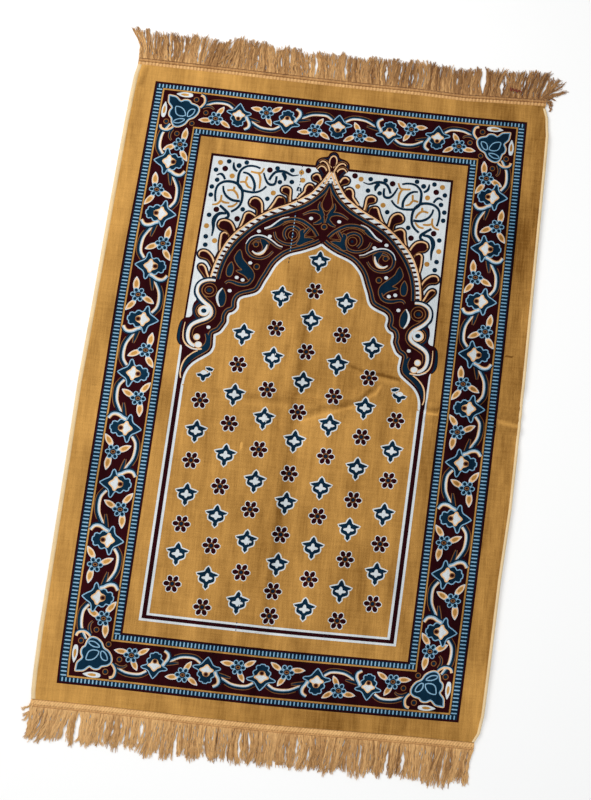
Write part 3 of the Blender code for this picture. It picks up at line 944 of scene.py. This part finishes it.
# Feet of the arch: an S-shaped white scroll with a ringed eye in each of its bends.
FOOT_S = [(-157, 157.4), (-163.6, 157.8), (-170.4, 156.6), (-177.6, 153.2), (-182, 147.8),
          (-183.4, 141), (-181.8, 133.8), (-176.4, 126.6), (-169.2, 120.6), (-162, 115.8),
          (-157.4, 109.8), (-156.8, 102.6), (-162, 96.6), (-171.6, 91.8), (-180, 87),
          (-185.4, 81), (-187.4, 72.6), (-186.8, 64.2), (-184, 57.6), (-179, 53), (-173.6, 51)]
for yarn, size in (("navy", 16.4), ("maroon", 14.2), ("brown", 12.6), ("maroon", 11.4)):
    lay_inner(yarn, oval(-168.2, 107.4, size, 0.94 * size, corners=20))
lay_inner("brown", band(FOOT_S[1:-1], 1.2, aside=7.4))
lay_inner("navy", band(FOOT_S, 11.6, (0.7, 0.6)))
lay_inner("brown", oval(-164.4, 141.2, 12, 11.6, corners=18))
lay_inner("maroon", oval(-164.2, 141.2, 10.8, 10.4, corners=18))
lay_inner("brown", oval(-164.6, 141, 7.3, 6.6, corners=16))
lay_inner("maroon", oval(-164.6, 141, 6.1, 5.4, corners=14))
lay_inner("navy", oval(-164.6, 141, 3.8, 3.2))
lay_inner("peach", oval(-168.2, 107.4, 9.2, 8.8, corners=18))
lay_inner("peach", band(FOOT_S, 5.8, (0.6, 0.9), aside=0.5))
lay_inner("white", band(FOOT_S, 4.4, (0.6, 0.9), aside=-0.1))
lay_inner("white", oval(-167.4, 107.4, 7.8, 7.4, corners=16))
lay_inner("navy", oval(-168, 107.6, 4.4, 3.7))
edged_shape("navy", "brown", 1.2, leaf((-143.6, 117.4), (-144.4, 145.8), 13.2))
lay_inner("white", band([(-144.8, 146.4), (-149.6, 139), (-150.8, 131), (-148.6, 123), (-144.6, 116.6)],
                        4, (0.4, 0.4)))
lay_inner("navy", band([(-199, 88), (-200.6, 78), (-200.8, 66), (-199, 57), (-196, 52.4)], 4.4, (0.6, 0.3)))
lay_inner("maroon", oval(-172.8, 65.4, 7))
lay_inner("peach", oval(-172.8, 65.4, 5.4))
lay_inner("white", oval(-172.4, 65.6, 4, corners=10))
lay_inner("peach", band([(-168, 44.4), (-174.6, 40.4), (-181, 34.6), (-186.4, 27), (-189.2, 17),
                         (-189.6, 7), (-187.6, -0.6)], 2.2, (0.7, 0.8)))
lay_inner("peach", band([(-193.8, 87), (-194.6, 75), (-193.6, 63), (-188.6, 53.6), (-178, 47.4),
                         (-168.6, 46.6), (-162.4, 47.6)], 2.4, (0.4, 1)))
lay_inner("white", band([(-188, 51), (-178, 46.6), (-168.6, 46)], 1.4, (0.4, 1)))
lay_inner("peach", oval(-168.8, 53.6, 6, 5.2))
lay_inner("white", oval(-168.6, 54, 5, 4.4, corners=10))

# Niche: plain gold, with columns of navy star sprigs and small maroon flowers by
# turns. The sprig beside each foot of the arch is half lost behind its edge.
SPRIG_HALF = [(16.7, 0), (14.6, 2.2), (11.5, 3.7), (9.3, 4.4), (8.2, 6.4), (7.6, 9), (6.6, 12.6),
              (5.4, 16.4), (3.7, 14.6), (2.4, 10.8), (0.4, 11.4), (-2.8, 11.8), (-5.4, 10.8),
              (-7.2, 7.4), (-8.2, 4.4), (-10, 3), (-13.6, 3.2), (-17.2, 0)]
LOST_SPRIG = (             # what shows of the sprig beside each foot
    ("navy", [(-151.6, 19.4), (-146, 20.2), (-139.6, 17.8), (-141.2, 14.6), (-146, 14.6), (-150.8, 17)]),
    ("navy", [(-164.4, 8.2), (-158.8, 9.8), (-154, 7.4), (-148.4, 9.8), (-144.4, 13), (-142.8, 9),
              (-146, 5), (-150, 4.2), (-150.8, -0.6), (-153.2, -2.2), (-156.4, 0.2), (-157.2, 4.2),
              (-162, 5)]),
    ("white", [(-157.4, 11.6), (-154.4, 13.8), (-150.2, 12.6), (-149.4, 11), (-154, 9), (-157.2, 9.8)]),
)
SPRIGS = (                 # column from the middle, and the height of each sprig in it
    (0, (205, 110, 12, -80, -175, -268)),
    (51, (143, 45, -50, -147, -238, -330)),
    (101.4, (77, -18, -112, -205, -298)),
    (151, (-80, -177, -267)),
)
SMALL_FLOWERS = (
    (0.8, (157, 60, -35, -130, -223, -308, -345)),
    (52, (92, -5, -98, -190, -285)),
    (102.2, (29.4, -63, -160, -250, -342)),
    (151.6, (-32, -125, -222, -312)),
)
RIGHT_INWARDS = 1.4        # how much nearer the right-hand columns are to the middle


def columns_of(column):
    """Where a column stands: once in the middle, or on each side of it."""
    if column < 1:
        return [AXIS_X - column]
    return [AXIS_X - column, AXIS_X + column - RIGHT_INWARDS]


for column, heights in SPRIGS:
    for x in columns_of(column):
        for y in heights:
            sprig = [(x + b, y + a) for a, b in both_sides(SPRIG_HALF)]
            lay_once("white", grown(sprig, 1.9))
            lay_once("navy", sprig)
            lay_once("white", oval(x, y - 0.4, 8.4, 2.5))
            lay_once("white", oval(x, y + 0.6, 3, 6.4))
for way, drop in ((1, 0), (-1, 2.2)):
    for edge in (1.5, 0):
        for yarn, outline in LOST_SPRIG:
            moved = [(x if way > 0 else 2 * AXIS_X - RIGHT_INWARDS - x, y - drop) for x, y in outline]
            lay_once("white" if edge else yarn, grown(moved, edge))
for column, heights in SMALL_FLOWERS:
    for x in columns_of(column):
        for y in heights:
            blossom(x, y, "maroon", "white", "brown", (8.7, 4.7, 3.8, 1.1), lay_once)
            lay_once("maroon", oval(x, y, 3.6, corners=10))
            lay_once("navy", oval(x, y, 2.3, corners=8))

# A fault in the weave: on the left, one warp's worth of pile came up in the wrong
# yarns, as a dotted line straight down through the pattern.
FAULT_X = -48.6
FAULT_STEPS = (            # from and to, dash and gap, yarn
    (357, 304, 3, 2, "navy"),
    (300, 278, 3.2, 3.6, "navy"),
    (275, 214, 3, 2.6, "sky"),
    (206, 199, 3, 2.6, "navy"),
    (156, 134, 3.6, 3.4, "white"),
    (104, 82, 2.6, 3.8, "navy"),
    (60, 33, 3.2, 4, "white"),
    (6, -14, 2.8, 4.4, "navy"),
    (-38, -64, 3.4, 3.8, "white"),
    (-86, -110, 2.6, 4.2, "navy"),
    (-134, -160, 3.4, 3.8, "white"),
    (-226, -252, 3, 4, "white"),
    (-318, -344, 3.2, 4, "white"),
    (-358, -371, 3, 2.4, "navy"),
)
for start, end, dash, gap, yarn in FAULT_STEPS:
    y = start
    while y > end:
        lay_inner(yarn, oval(FAULT_X, y - 0.5 * dash, 0.5 * dash, 0.8, 90, 8), across=False)
        y -= dash + gap

# Pile. Each yarn's cut pile is one piece: its top is the part of the plan where
# that yarn lies uppermost, and it goes down into the ground weave.
PILE_EDGE = 2.6            # how far in from the cloth's sides the pile ends
PILE_WIDE = 680.0          # the loose points between the pattern's own, for the ridges: over
PILE_LONG = 1000.0         # how much of the rug, how far apart, and how far off their grid
PILE_GRID = 8.0
PILE_LOOSE = 0.23
PILE_ROOT = 1.9            # its underside, just in the ground weave's top
YARN_ORDER = ("gold", "maroon", "navy", "sky", "white", "peach", "brown")


def cloth_outline():
    """The outline of the cloth that carries pile."""
    ups = [mix(BOTTOM_END, TOP_END, i / 60) for i in range(61)]
    left = [(read(LEFT_SIDE, y) + PILE_EDGE, y) for y in ups]
    right = [(read(RIGHT_SIDE, y) - PILE_EDGE, y) for y in ups]
    foot = [(mix(left[0][0], right[0][0], i / 40), 0.0) for i in range(41)]
    head = [(mix(left[-1][0], right[-1][0], i / 40), 0.0) for i in range(41)]
    foot = [(x, end_line(x, False)) for x, y in foot]
    head = [(x, end_line(x, True)) for x, y in head]
    return foot + right[1:-1] + head[::-1] + left[-2:0:-1]


def tiles_of(outlines, loose):
    """The plane cut into triangles along every outline: corners and triangles."""
    corners, sides = [], []
    for outline in outlines:
        first = len(corners)
        corners += [Vector(point) for point in outline]
        count = len(outline)
        sides += [(first + i, first + (i + 1) % count) for i in range(count)]
    corners += [Vector(point) for point in loose]
    found = delaunay_2d_cdt(corners, sides, [], 0, 0.02, False)
    return np.array([tuple(v) for v in found[0]]), np.array(found[2])


def inside(outline, points):
    """Which points an outline goes round, however it crosses itself."""
    line = np.array(outline)
    ahead = np.roll(line, -1, axis=0)
    turns = np.zeros(len(points), dtype=int)
    for (x0, y0), (x1, y1) in zip(line, ahead):
        if y0 == y1:
            continue
        px, py = points[:, 0], points[:, 1]
        side = (x1 - x0) * (py - y0) - (px - x0) * (y1 - y0)
        turns += np.where((y0 <= py) & (py < y1) & (side > 0), 1, 0)
        turns -= np.where((y1 <= py) & (py < y0) & (side < 0), 1, 0)
    return turns != 0


# The pile is painted darker towards the right: partly painted shade, as the light falls from the left.
NAP_MIDDLE = 0.52          # how light the nap looks in the middle, and by how much less
NAP_AND_SHADE_FALL = 0.16            # at the right edge
NAP_HALF_WIDE = 330.0
NAP_STEP = 4.0             # between the points along a narrow stroke
NAP_NARROW = 15.0
# painted shade and highlights along the creases and the rolled-over corner, and patches where the pile is
# lighter or darker: from where to where, by how much, how far aside
NAP_AND_SHADE = (
    (-9, 200, -9, -235, -0.20, 10),
    (-8, -235, -9, -495, -0.13, 9),
    (-26, 190, -26, -60, 0.08, 6),
    (68, 45.4, 85.2, 40.3, -0.25, 4),
    (85.2, 40.3, 112.4, 36.9, -0.35, 4),
    (112.4, 36.9, 146, 32, -0.45, 4.5),
    (85, 33, 112, 29, 0.14, 6),
    (112, 29, 143, 26, 0.20, 6),
    (104, 10, 90, -6, -0.30, 5),
    (90, -6, 76, -13, -0.30, 6),
    (76, -13, 30, -26, -0.30, 8),
    (30, -26, 8, -38, -0.30, 9),
    (8, -38, -10, -50, -0.20, 8),
    (120, 20, 113, 6, 0.30, 4),
    (113, 6, 98, -4, 0.28, 4),
    (80, -18, 58, -27, 0.18, 4),
    (58, -27, 5, -48, 0.22, 4),
    (-95, -18.5, 24, -18.5, -0.16, 8),
    (-80, -29, -20, -29, 0.13, 6),
    (188, -9, 216, -9, -0.25, 5),
    (188, -16.5, 216, -16.5, 0.55, 3),
    (303, -17, 337, -22, 0.45, 5),
    (322, 330, 322, 0, -0.10, 60),
    (0, -482, 190, -482, -0.10, 46),
    (325, -465, 325, -430, 0.24, 90),
    (-320, 482, -210, 484, 0.12, 70),
    (-317, 488, -321, 462, -0.40, 7),
    (-327, 488, -331, 452, 0.40, 5),
    (-80.4, -91, -80.4, -97, 1.3, 2.4),
    (306, 86.4, 316, 85.6, -1.4, 1.8),
)


def nap_and_shade(x, y):
    """How light the pile is painted at a place: lighter to the left, partly as painted shade from the light
    on that side, and lighter or darker along the strokes, which paint the creases' shade and highlights.
    """
    strokes = [much * hump(off_stroke(x, y, *line), reach) for *line, much, reach in NAP_AND_SHADE]
    return NAP_MIDDLE - NAP_AND_SHADE_FALL * x / NAP_HALF_WIDE + min(strokes) + max(strokes)


edge = cloth_outline()
loose = []
for i in range(round(PILE_WIDE / PILE_GRID)):
    for j in range(round(PILE_LONG / PILE_GRID)):
        x = -0.5 * PILE_WIDE + (i + 0.5 + PILE_LOOSE * math.sin(12.9 * i + 4.1 * j)) * PILE_GRID
        y = -0.5 * PILE_LONG + (j + 0.5 + PILE_LOOSE * math.sin(7.3 * j + 2.7 * i)) * PILE_GRID
        loose.append((x, y))
for x0, y0, x1, y1, much, reach in NAP_AND_SHADE:
    length = math.hypot(x1 - x0, y1 - y0)
    steps = math.ceil(length / NAP_STEP) if reach < NAP_NARROW else 0
    for i in range(steps + 1):
        for aside in (-1.0, -0.5, 0.0, 0.5, 1.0):
            off_x = -(y1 - y0) / length * aside * reach
            off_y = (x1 - x0) / length * aside * reach
            share = i / max(steps, 1)
            loose.append((mix(x0, x1, share) + off_x, mix(y0, y1, share) + off_y))
corners, tiles = tiles_of([edge] + [outline for yarn, outline in plan], loose)
middles = corners[tiles].mean(axis=1)
tile_yarns = np.full(len(tiles), -1)
in_order = np.argsort(middles[:, 1])
heights = middles[in_order, 1]
for yarn, outline in [("gold", edge)] + plan:
    reach = np.array(outline)
    low, high = reach.min(axis=0), reach.max(axis=0)
    near = in_order[np.searchsorted(heights, low[1]):np.searchsorted(heights, high[1])]
    near = near[(middles[near, 0] > low[0]) & (middles[near, 0] < high[0])]
    if len(near):
        covered = near[inside(outline, middles[near])]
        tile_yarns[covered] = YARN_ORDER.index(yarn)
in_cloth = inside(edge, middles)
tile_yarns[~in_cloth] = -1

# how high each yarn's pile stands, and its colours in the shade and in the light
PILES = (
    ("gold", 4.0, (0.17, 0.071, 0.011), (0.69, 0.364, 0.093)),
    ("maroon", 3.9, (0.004, 0.0002, 0.0008), (0.036, 0.0026, 0.0048)),
    ("navy", 3.95, (0.0005, 0.004, 0.012), (0.004, 0.030, 0.062)),
    ("sky", 4.05, (0.10, 0.24, 0.36), (0.34, 0.56, 0.73)),
    ("white", 4.05, (0.43, 0.48, 0.50), (0.81, 0.835, 0.84)),
    ("peach", 4.1, (0.55, 0.29, 0.12), (0.95, 0.66, 0.38)),
    ("brown", 4.0, (0.12, 0.045, 0.010), (0.30, 0.140, 0.048)),
)


def pile_look(yarn, shade, light):
    """Short cut pile: tufts in rows, swept in streaks, brushed in patches, over the painted shade and
    highlights that its points carry.
    """
    look = Look(yarn + "_pile", 0.9, sheen=0.02, sheen_tint=light)
    brushed = look.noise(look.stretched(1.0, 0.7), 9.0, 4.0, 0.6)
    swept = look.noise(look.stretched(1.0, 0.24), 38.0, 3.0, 0.6)
    wales = look.noise(look.stretched(1.0, 0.06), 420.0, 2.0, 0.6)
    courses = look.noise(look.stretched(0.06, 1.0), 380.0, 2.0, 0.6)
    tufts = look.ramp(look.tufts(look.stretched(1.0, 1.15), 900.0), (0.0, 1.0), (0.9, 0.0))
    # the tone starts from the painted shade and highlights that the points carry
    tone = look.clouded(look.kept("nap_and_shade"), (brushed, 0.8), (swept, 0.9), (wales, 0.5), (courses, 0.3))
    look.colour(look.ramp(look.clouded(tone, (tufts, 0.25)), (0.0, shade), (1.0, light)))
    look.relief(look.clouded(tufts, (wales, 0.6), (courses, 0.3)), 0.0007, 0.8)
    return look.material


def pile_piece(yarn, high, shade, light):
    """One yarn's pile: its tiles, raised to its height and given walls."""
    chosen = tiles[tile_yarns == YARN_ORDER.index(yarn)]
    bm = bmesh.new()
    # each point carries how light the pile is painted there, with the creases' painted shade and highlights
    lies = bm.verts.layers.float.new("nap_and_shade")
    verts = {}
    for index in np.unique(chosen):
        x, y = corners[index]
        verts[index] = bm.verts.new(laid(x, y, lift(x, y) + high))
        verts[index][lies] = nap_and_shade(x, y)
    tops = [bm.faces.new([verts[i] for i in tile]) for tile in chosen]
    if tops[0].normal.z < 0:
        bmesh.ops.reverse_faces(bm, faces=tops)
    grown_down = bmesh.ops.extrude_face_region(bm, geom=tops, use_keep_orig=True)
    for part in grown_down["geom"]:
        if isinstance(part, bmesh.types.BMVert):
            part.co.z -= (high - PILE_ROOT) * MM
    bmesh.ops.recalc_face_normals(bm, faces=bm.faces)
    piece = add_piece(yarn + "_pile", bm, pile_look(yarn, shade, light), yarn + "_pile", "rug_cloth")


for row in PILES:
    pile_piece(*row)

# Hems. The long sides are overcast with cream yarn: a flat cord of close slanting
# stitches around the edge of the cloth, with the cloth's low ridges under it.
HEM_STITCH = 2.6           # from stitch to stitch
HEM_SLANT = 1.6            # how far each leans along the edge
HEM_SWELL = 0.10           # how far the cord draws in between them
HEM_SHORT = 0.4            # between the cord's end and the cloth's
HEM_HIGH = 5.2
HEM_AROUND = 10            # steps around the cord


def hem_look():
    """Cream overcast yarn, a little soiled, with the twist of its strands."""
    look = Look("hem_yarn", 0.9, sheen=0.04)
    strands = look.waves(look.stretched(1.0, 1.0, turn=28.0), 260.0, "Y", 0.8)
    soil = look.noise(look.place, 26.0, 3.0, 0.6)
    yarn = look.ramp(strands, (0.0, (0.74, 0.52, 0.27)), (1.0, (0.96, 0.75, 0.44)))
    look.colour(look.multiplied(yarn, look.ramp(soil, (0.3, 0.88), (0.62, 1.0))))
    look.relief(strands, 0.0003)
    return look.material


hem_finish = hem_look()


def hem(name, side, way, wide):
    """A stitched cord along one side: way is -1 on the left and 1 on the right."""
    steps = round((TOP_END - BOTTOM_END) / (HEM_STITCH / 3))
    bm = bmesh.new()
    bmesh.ops.create_grid(bm, x_segments=HEM_AROUND, y_segments=steps, size=1.0)
    for vert in bm.verts:
        angle = math.pi * (1.0 + vert.co.x)
        y = mix(BOTTOM_END + HEM_SHORT, TOP_END - HEM_SHORT, 0.5 + 0.5 * vert.co.y)
        slant = y + HEM_SLANT * math.cos(angle)
        swell = 1.0 - HEM_SWELL + HEM_SWELL * abs(math.sin(math.pi * slant / HEM_STITCH))
        x = read(side, y) - way * 0.5 * wide
        out = 0.5 * wide * swell * math.cos(angle)
        up = 0.5 * HEM_HIGH * swell * math.sin(angle)
        vert.co = laid(x + out, y, lift(x, y) + 0.5 * HEM_HIGH + up)
    bmesh.ops.remove_doubles(bm, verts=bm.verts, dist=0.00001)
    bmesh.ops.holes_fill(bm, edges=[edge for edge in bm.edges if edge.is_boundary], sides=0)
    bmesh.ops.recalc_face_normals(bm, faces=bm.faces)
    piece = add_piece(name, bm, hem_finish, "hem_yarn", "rug_cloth")
    for face in piece.data.polygons:
        face.use_smooth = True


hem("hem_left", LEFT_SIDE, -1, 7.4)
hem("hem_right", RIGHT_SIDE, 1, 5.4)

# Fringes. Across each end the rug's warp yarns run on into a narrow woven heading,
# sewn through twice, and then hang loose in some 63 soft, frayed bunches.
TOP_HEADING = 11.8         # how wide the heading is at each end
BOTTOM_HEADING = 11.2
HEADING_HIGH = 3.2
HEADING_GAP = 0.35         # between it and the cloth
HEADING_STEPS = 12         # rows of points across it
HEADING_CROWN = 0.35       # how far its long edges are rounded down, as a share of its height
RIBS_DEEP = 0.30           # how deep its ribs are next to the cloth, and in the plainer strip
STRIP_DEEP = 0.12          # past the first seam
SEAM_REACH = 0.11          # half the width of a sewn groove, as a share of the heading's
EDGE_SEAM = 0.95           # where the second seam runs, and how wide it is
EDGE_REACH = 0.09
GROOVE_DEEP = 0.30
BUNCHES = 63
STRANDS = 6                # in a bunch
YARNS = 5                  # in a strand
JOINTS = 9                 # points along a yarn
YARN_THICK = (0.50, 0.72)  # half of a yarn's thickness, from the thinnest to the thickest
STRAND_WIDE = 1.9
KINK = 0.75                # how far a strand strays to each side at its joints
FRAY = 3.4                 # how far its yarns part at the end
TOP_LIES = (               # where, how far the bunches lean to the right, how long they are
    (-335, -24, 50), (-322, -20, 51), (-310, -2, 51), (-296, -2, 44),
    (-288, -4, 52), (-270, -2, 52), (-236, 1, 50), (-226, 3, 50),
    (-218, 8, 41), (-190, 9, 55), (-150, 0, 51), (-100, -5, 47),
    (0, -3, 47), (120, 2, 49), (200, 0, 45), (240, 4, 52),
    (268, 2, 44), (290, 3, 54), (305, 8, 50), (315, 15, 46), (322, 24, 40),
    (328, 34, 32),
)
TOP_STRAYS = (             # single strands at the corners and astray: from where to where
    (316, 513, 346, 548), (318, 513, 354, 544), (319, 512, 352, 537),
    (320, 512, 360, 530), (321, 511, 355, 526), (322, 511, 348, 524),
    (323, 510, 343, 519), (325, 509, 340, 512), (326, 508, 337, 506),
    (327, 507, 335, 499), (328, 505, 333, 492),
    (-205, 512, -166, 552), (-136, 512, -156, 553),
)
TOP_TONES = ((-330, 0.62), (-80, 0.52), (60, 0.44), (200, 0.34), (330, 0.22))
BOTTOM_LIES = (
    (-335, 2, 54), (-325, -4, 48), (-312, -9, 49), (-280, -7, 50), (-200, -3, 50),
    (-170, 0, 42), (-160, -1, 55), (-110, 2, 52), (0, 0, 51),
    (120, 0, 53), (220, 2, 51), (290, -2, 57), (325, -7, 53),
)
BOTTOM_STRAYS = (
    (-331, -505, -345, -515), (-330, -507, -340, -532), (-328, -506, -341, -525),
)
BOTTOM_TONES = ((-330, 1), (-120, 0.86), (60, 0.70), (330, 0.72))


def fringe_look(name, ribs):
    """Tan cotton yarn, lighter and darker from strand to strand."""
    look = Look(name, 0.93, sheen=0.08)
    fluff = look.noise(look.stretched(1.0, 0.3), 420.0, 2.0, 0.6)
    patches = look.noise(look.place, 18.0, 2.0)
    tone = look.clouded(look.kept("tone"), (fluff, 0.8), (patches, 0.6))
    shades = ((0.0, (0.24, 0.10, 0.030)), (0.5, (0.60, 0.315, 0.115)), (1.0, (0.98, 0.60, 0.25)))
    look.colour(look.ramp(tone, *shades))
    twist = look.waves(look.stretched(1.0, 1.0, turn=35.0), ribs, "Y", 1.2)
    look.relief(twist, 0.0004)
    return look.material


heading_finish = fringe_look("heading_weave", 300.0)
fringe_finish = fringe_look("fringe_yarn", 420.0)


def heading(name, node, upper, shades, wide, count, slant, seam, strip, sewn):
    """The woven strip between the cloth and the bunches: count pale ribs, which lean
    over by slant, up to the first seam, then a strip as light as strip says. sewn is
    how dark the seams' grooves are."""
    way = 1 if upper else -1
    line = TOP_END if upper else BOTTOM_END
    left, right = read(LEFT_SIDE, line), read(RIGHT_SIDE, line)
    rib = (right - left) / (count + 0.5)
    bm = bmesh.new()
    tones = bm.verts.layers.float.new("tone")
    bmesh.ops.create_grid(bm, x_segments=4 * count + 3, y_segments=HEADING_STEPS, size=1.0)
    for vert in bm.verts:
        x = mix(left, right, 0.5 + 0.5 * vert.co.x)
        v = 0.5 + 0.5 * vert.co.y
        y = end_line(x, upper) + way * (HEADING_GAP + (wide - 0.2) * v)
        ribs = abs(math.sin(math.pi * (x - left + slant * v) / rib))
        crown = 1.0 - HEADING_CROWN * abs(2.0 * v - 1.0) ** 3
        groove = max(hump(v - seam, SEAM_REACH), 1.2 * hump(v - EDGE_SEAM, EDGE_REACH))
        ribbed = RIBS_DEEP if v < seam else STRIP_DEEP
        high = HEADING_HIGH * crown * (1.0 - ribbed + ribbed * ribs - GROOVE_DEEP * groove)
        vert.co = laid(x, y, high)
        tone = mix(0.42 + 0.45 * ribs, strip, 0.0 if v < seam else 1.0) + 0.3 * (read(shades, x) - 0.55)
        vert[tones] = tone - (sewn - 0.3 * ribs) * groove
    lowered = bmesh.ops.extrude_face_region(bm, geom=list(bm.faces), use_keep_orig=True)
    for part in lowered["geom"]:
        if isinstance(part, bmesh.types.BMVert):
            part.co.z = 0.0
    bmesh.ops.recalc_face_normals(bm, faces=bm.faces)
    piece = add_piece(name, bm, heading_finish, "fringe_yarn", node)
    for face in piece.data.polygons:
        face.use_smooth = True


def yarn_curves(name):
    """An empty curve that gives each of its lines the thickness of its points."""
    curves = bpy.data.curves.new(name + "_curves", "CURVE")
    curves.dimensions = "3D"
    curves.bevel_depth = 1.0
    curves.bevel_resolution = 0
    curves.use_fill_caps = True
    return curves


def round_yarns(curves):
    """The yarns along a curve's lines, as a bmesh."""
    drawn = bpy.data.objects.new("drawn_yarns", curves)
    bpy.context.collection.objects.link(drawn)
    bpy.context.view_layer.update()
    bm = bmesh.new()
    bm.from_mesh(drawn.evaluated_get(bpy.context.evaluated_depsgraph_get()).to_mesh())
    bpy.data.objects.remove(drawn)
    bpy.data.curves.remove(curves)
    return bm


def strand(curves, chance, path, tone, yarn_tones):
    """A few yarns side by side along one kinked path, frayed at its end. path gives
    the place at each share of its length, and the way to its side."""
    kink = [chance.gauss(0.0, KINK) for joint in range(JOINTS)]
    for yarn in range(YARNS):
        beside = (yarn + 0.5) / YARNS - 0.5
        thick = chance.uniform(*YARN_THICK)
        fray = FRAY * beside + chance.gauss(0.0, 0.9)
        own_long = chance.uniform(0.86, 1.03)
        above = chance.uniform(-0.4, 0.6)
        yarn_tones.append(tone + chance.gauss(0.0, 0.12))
        spline = curves.splines.new("POLY")
        spline.points.add(JOINTS - 1)
        for joint, point in enumerate(spline.points):
            t = joint / (JOINTS - 1)
            x, y, z, side_x, side_y = path(t * own_long)
            aside = STRAND_WIDE * beside * (1.0 - 0.4 * t) + fray * t ** 2.5
            if joint:
                aside += kink[joint] + chance.gauss(0.0, 0.22)
            z = max(z + above * min(3.0 * t, 1.0), 0.0) + thick
            point.co = (*laid(x + aside * side_x, y + aside * side_y, z), 1.0)
            point.radius = thick * MM * mix(1.0, 0.62, t ** 2)


def fringe(name, node, upper, shades, wide, lies, strays, pinched, seed):
    """All the loose yarns of one end: bunches of strands, and a few astray at the corner.
    wide is the heading's width, and pinched how narrow a bunch may be at its waist."""
    chance = random.Random(seed)
    way = 1 if upper else -1
    line = TOP_END if upper else BOTTOM_END
    left, right = read(LEFT_SIDE, line), read(RIGHT_SIDE, line)
    pitch = (right - left) / BUNCHES
    curves = yarn_curves(name)
    lean_rows = [(x, lean) for x, lean, long in lies]
    long_rows = [(x, long) for x, lean, long in lies]
    yarn_tones = []
    for bunch in range(BUNCHES):
        root_x = left + (bunch + 0.5) * pitch
        lean = read(lean_rows, root_x) + chance.gauss(0.0, 3.0)
        long = read(long_rows, root_x) + chance.uniform(-4.0, 3.0)
        pinch = chance.uniform(pinched, 1.0)
        flare = chance.uniform(0.85, 1.4)
        sweep = chance.gauss(0.0, 2.0)
        for turn in range(STRANDS):
            share = (turn + 0.5) / STRANDS - 0.5
            tip = lean + share * pitch * flare + chance.gauss(0.0, 2.3)
            own_long = long * chance.uniform(0.88, 1.03)
            level = chance.uniform(0.2, 1.7)

            def path(t):
                grip = mix(1.0, pinch, math.sin(math.pi * min(1.6 * t, 1.0)))
                x = root_x + grip * mix(share * pitch, tip, t ** 1.4) + sweep * math.sin(math.pi * t)
                y = end_line(root_x, upper) + way * (HEADING_GAP + wide - 0.5 + own_long * t)
                return x, y, mix(1.6, level, min(3.0 * t, 1.0)) * mix(1.0, 0.6, t), 1.0, 0.0

            strand(curves, chance, path, chance.gauss(read(shades, root_x), 0.17), yarn_tones)
    for x0, y0, x1, y1 in strays:
        def path(t):
            run = math.hypot(x1 - x0, y1 - y0)
            bow = 2.5 * math.sin(math.pi * t) / run
            x, y = mix(x0, x1, t) - bow * (y1 - y0), mix(y0, y1, t) + bow * (x1 - x0)
            return x, y, mix(3.0, 0.4, min(2.0 * t, 1.0)), -(y1 - y0) / run, (x1 - x0) / run

        strand(curves, chance, path, read(shades, x0), yarn_tones)
    bm = round_yarns(curves)
    bmesh.ops.recalc_face_normals(bm, faces=bm.faces)
    tones = bm.verts.layers.float.new("tone")
    a_yarn = len(bm.verts) // len(yarn_tones)
    for index, vert in enumerate(bm.verts):
        vert[tones] = yarn_tones[index // a_yarn]
    piece = add_piece(name, bm, fringe_finish, "fringe_yarn", node)
    for face in piece.data.polygons:
        face.use_smooth = True


heading("heading_top", "fringe_top", True, TOP_TONES, TOP_HEADING,
        count=118, slant=0.0, seam=0.50, strip=0.42, sewn=0.65)
heading("heading_bottom", "fringe_bottom", False, BOTTOM_TONES, BOTTOM_HEADING,
        count=150, slant=8.0, seam=0.72, strip=0.66, sewn=0.60)
fringe("fringe_top_yarns", "fringe_top", True, TOP_TONES, TOP_HEADING,
       TOP_LIES, TOP_STRAYS, pinched=0.90, seed=21)
fringe("fringe_bottom_yarns", "fringe_bottom", False, BOTTOM_TONES, BOTTOM_HEADING,
       BOTTOM_LIES, BOTTOM_STRAYS, pinched=0.92, seed=22)

# Stray thread. A short end of dark red yarn is caught in the top fringe, near its
# right end: one kinked thread, lying loose on the strands.
THREAD_PLACES = ((264, 524.5), (266.5, 518.7), (269, 523.6), (271.4, 519.5), (273.9, 522.4), (276.3, 517.9),
                 (278.8, 521.2), (282.9, 518.7))
THREAD_HIGH = 4.2
THREAD_THICK = 0.7
thread_look = Look("red_thread", 0.9, sheen=0.1)
thread_tone = thread_look.noise(thread_look.place, 600.0, 2.0)
thread_look.colour(thread_look.ramp(thread_tone, (0.3, (0.12, 0.008, 0.010)), (0.7, (0.42, 0.035, 0.030))))
thread_look.relief(thread_look.waves(thread_look.place, 420.0, "X", 1.5), 0.0003)
thread_curves = yarn_curves("stray_thread")
thread_line = thread_curves.splines.new("POLY")
thread_path = curve(list(THREAD_PLACES), closed=False)
thread_line.points.add(len(thread_path) - 1)
for point, (x, y) in zip(thread_line.points, thread_path):
    point.co = (*laid(x, y, THREAD_HIGH + 0.5 * math.sin(x)), 1.0)
    point.radius = THREAD_THICK * MM
thread_bm = round_yarns(thread_curves)
bmesh.ops.recalc_face_normals(thread_bm, faces=thread_bm.faces)
add_piece("stray_thread", thread_bm, thread_look.material, "maroon_pile", "fringe_top")
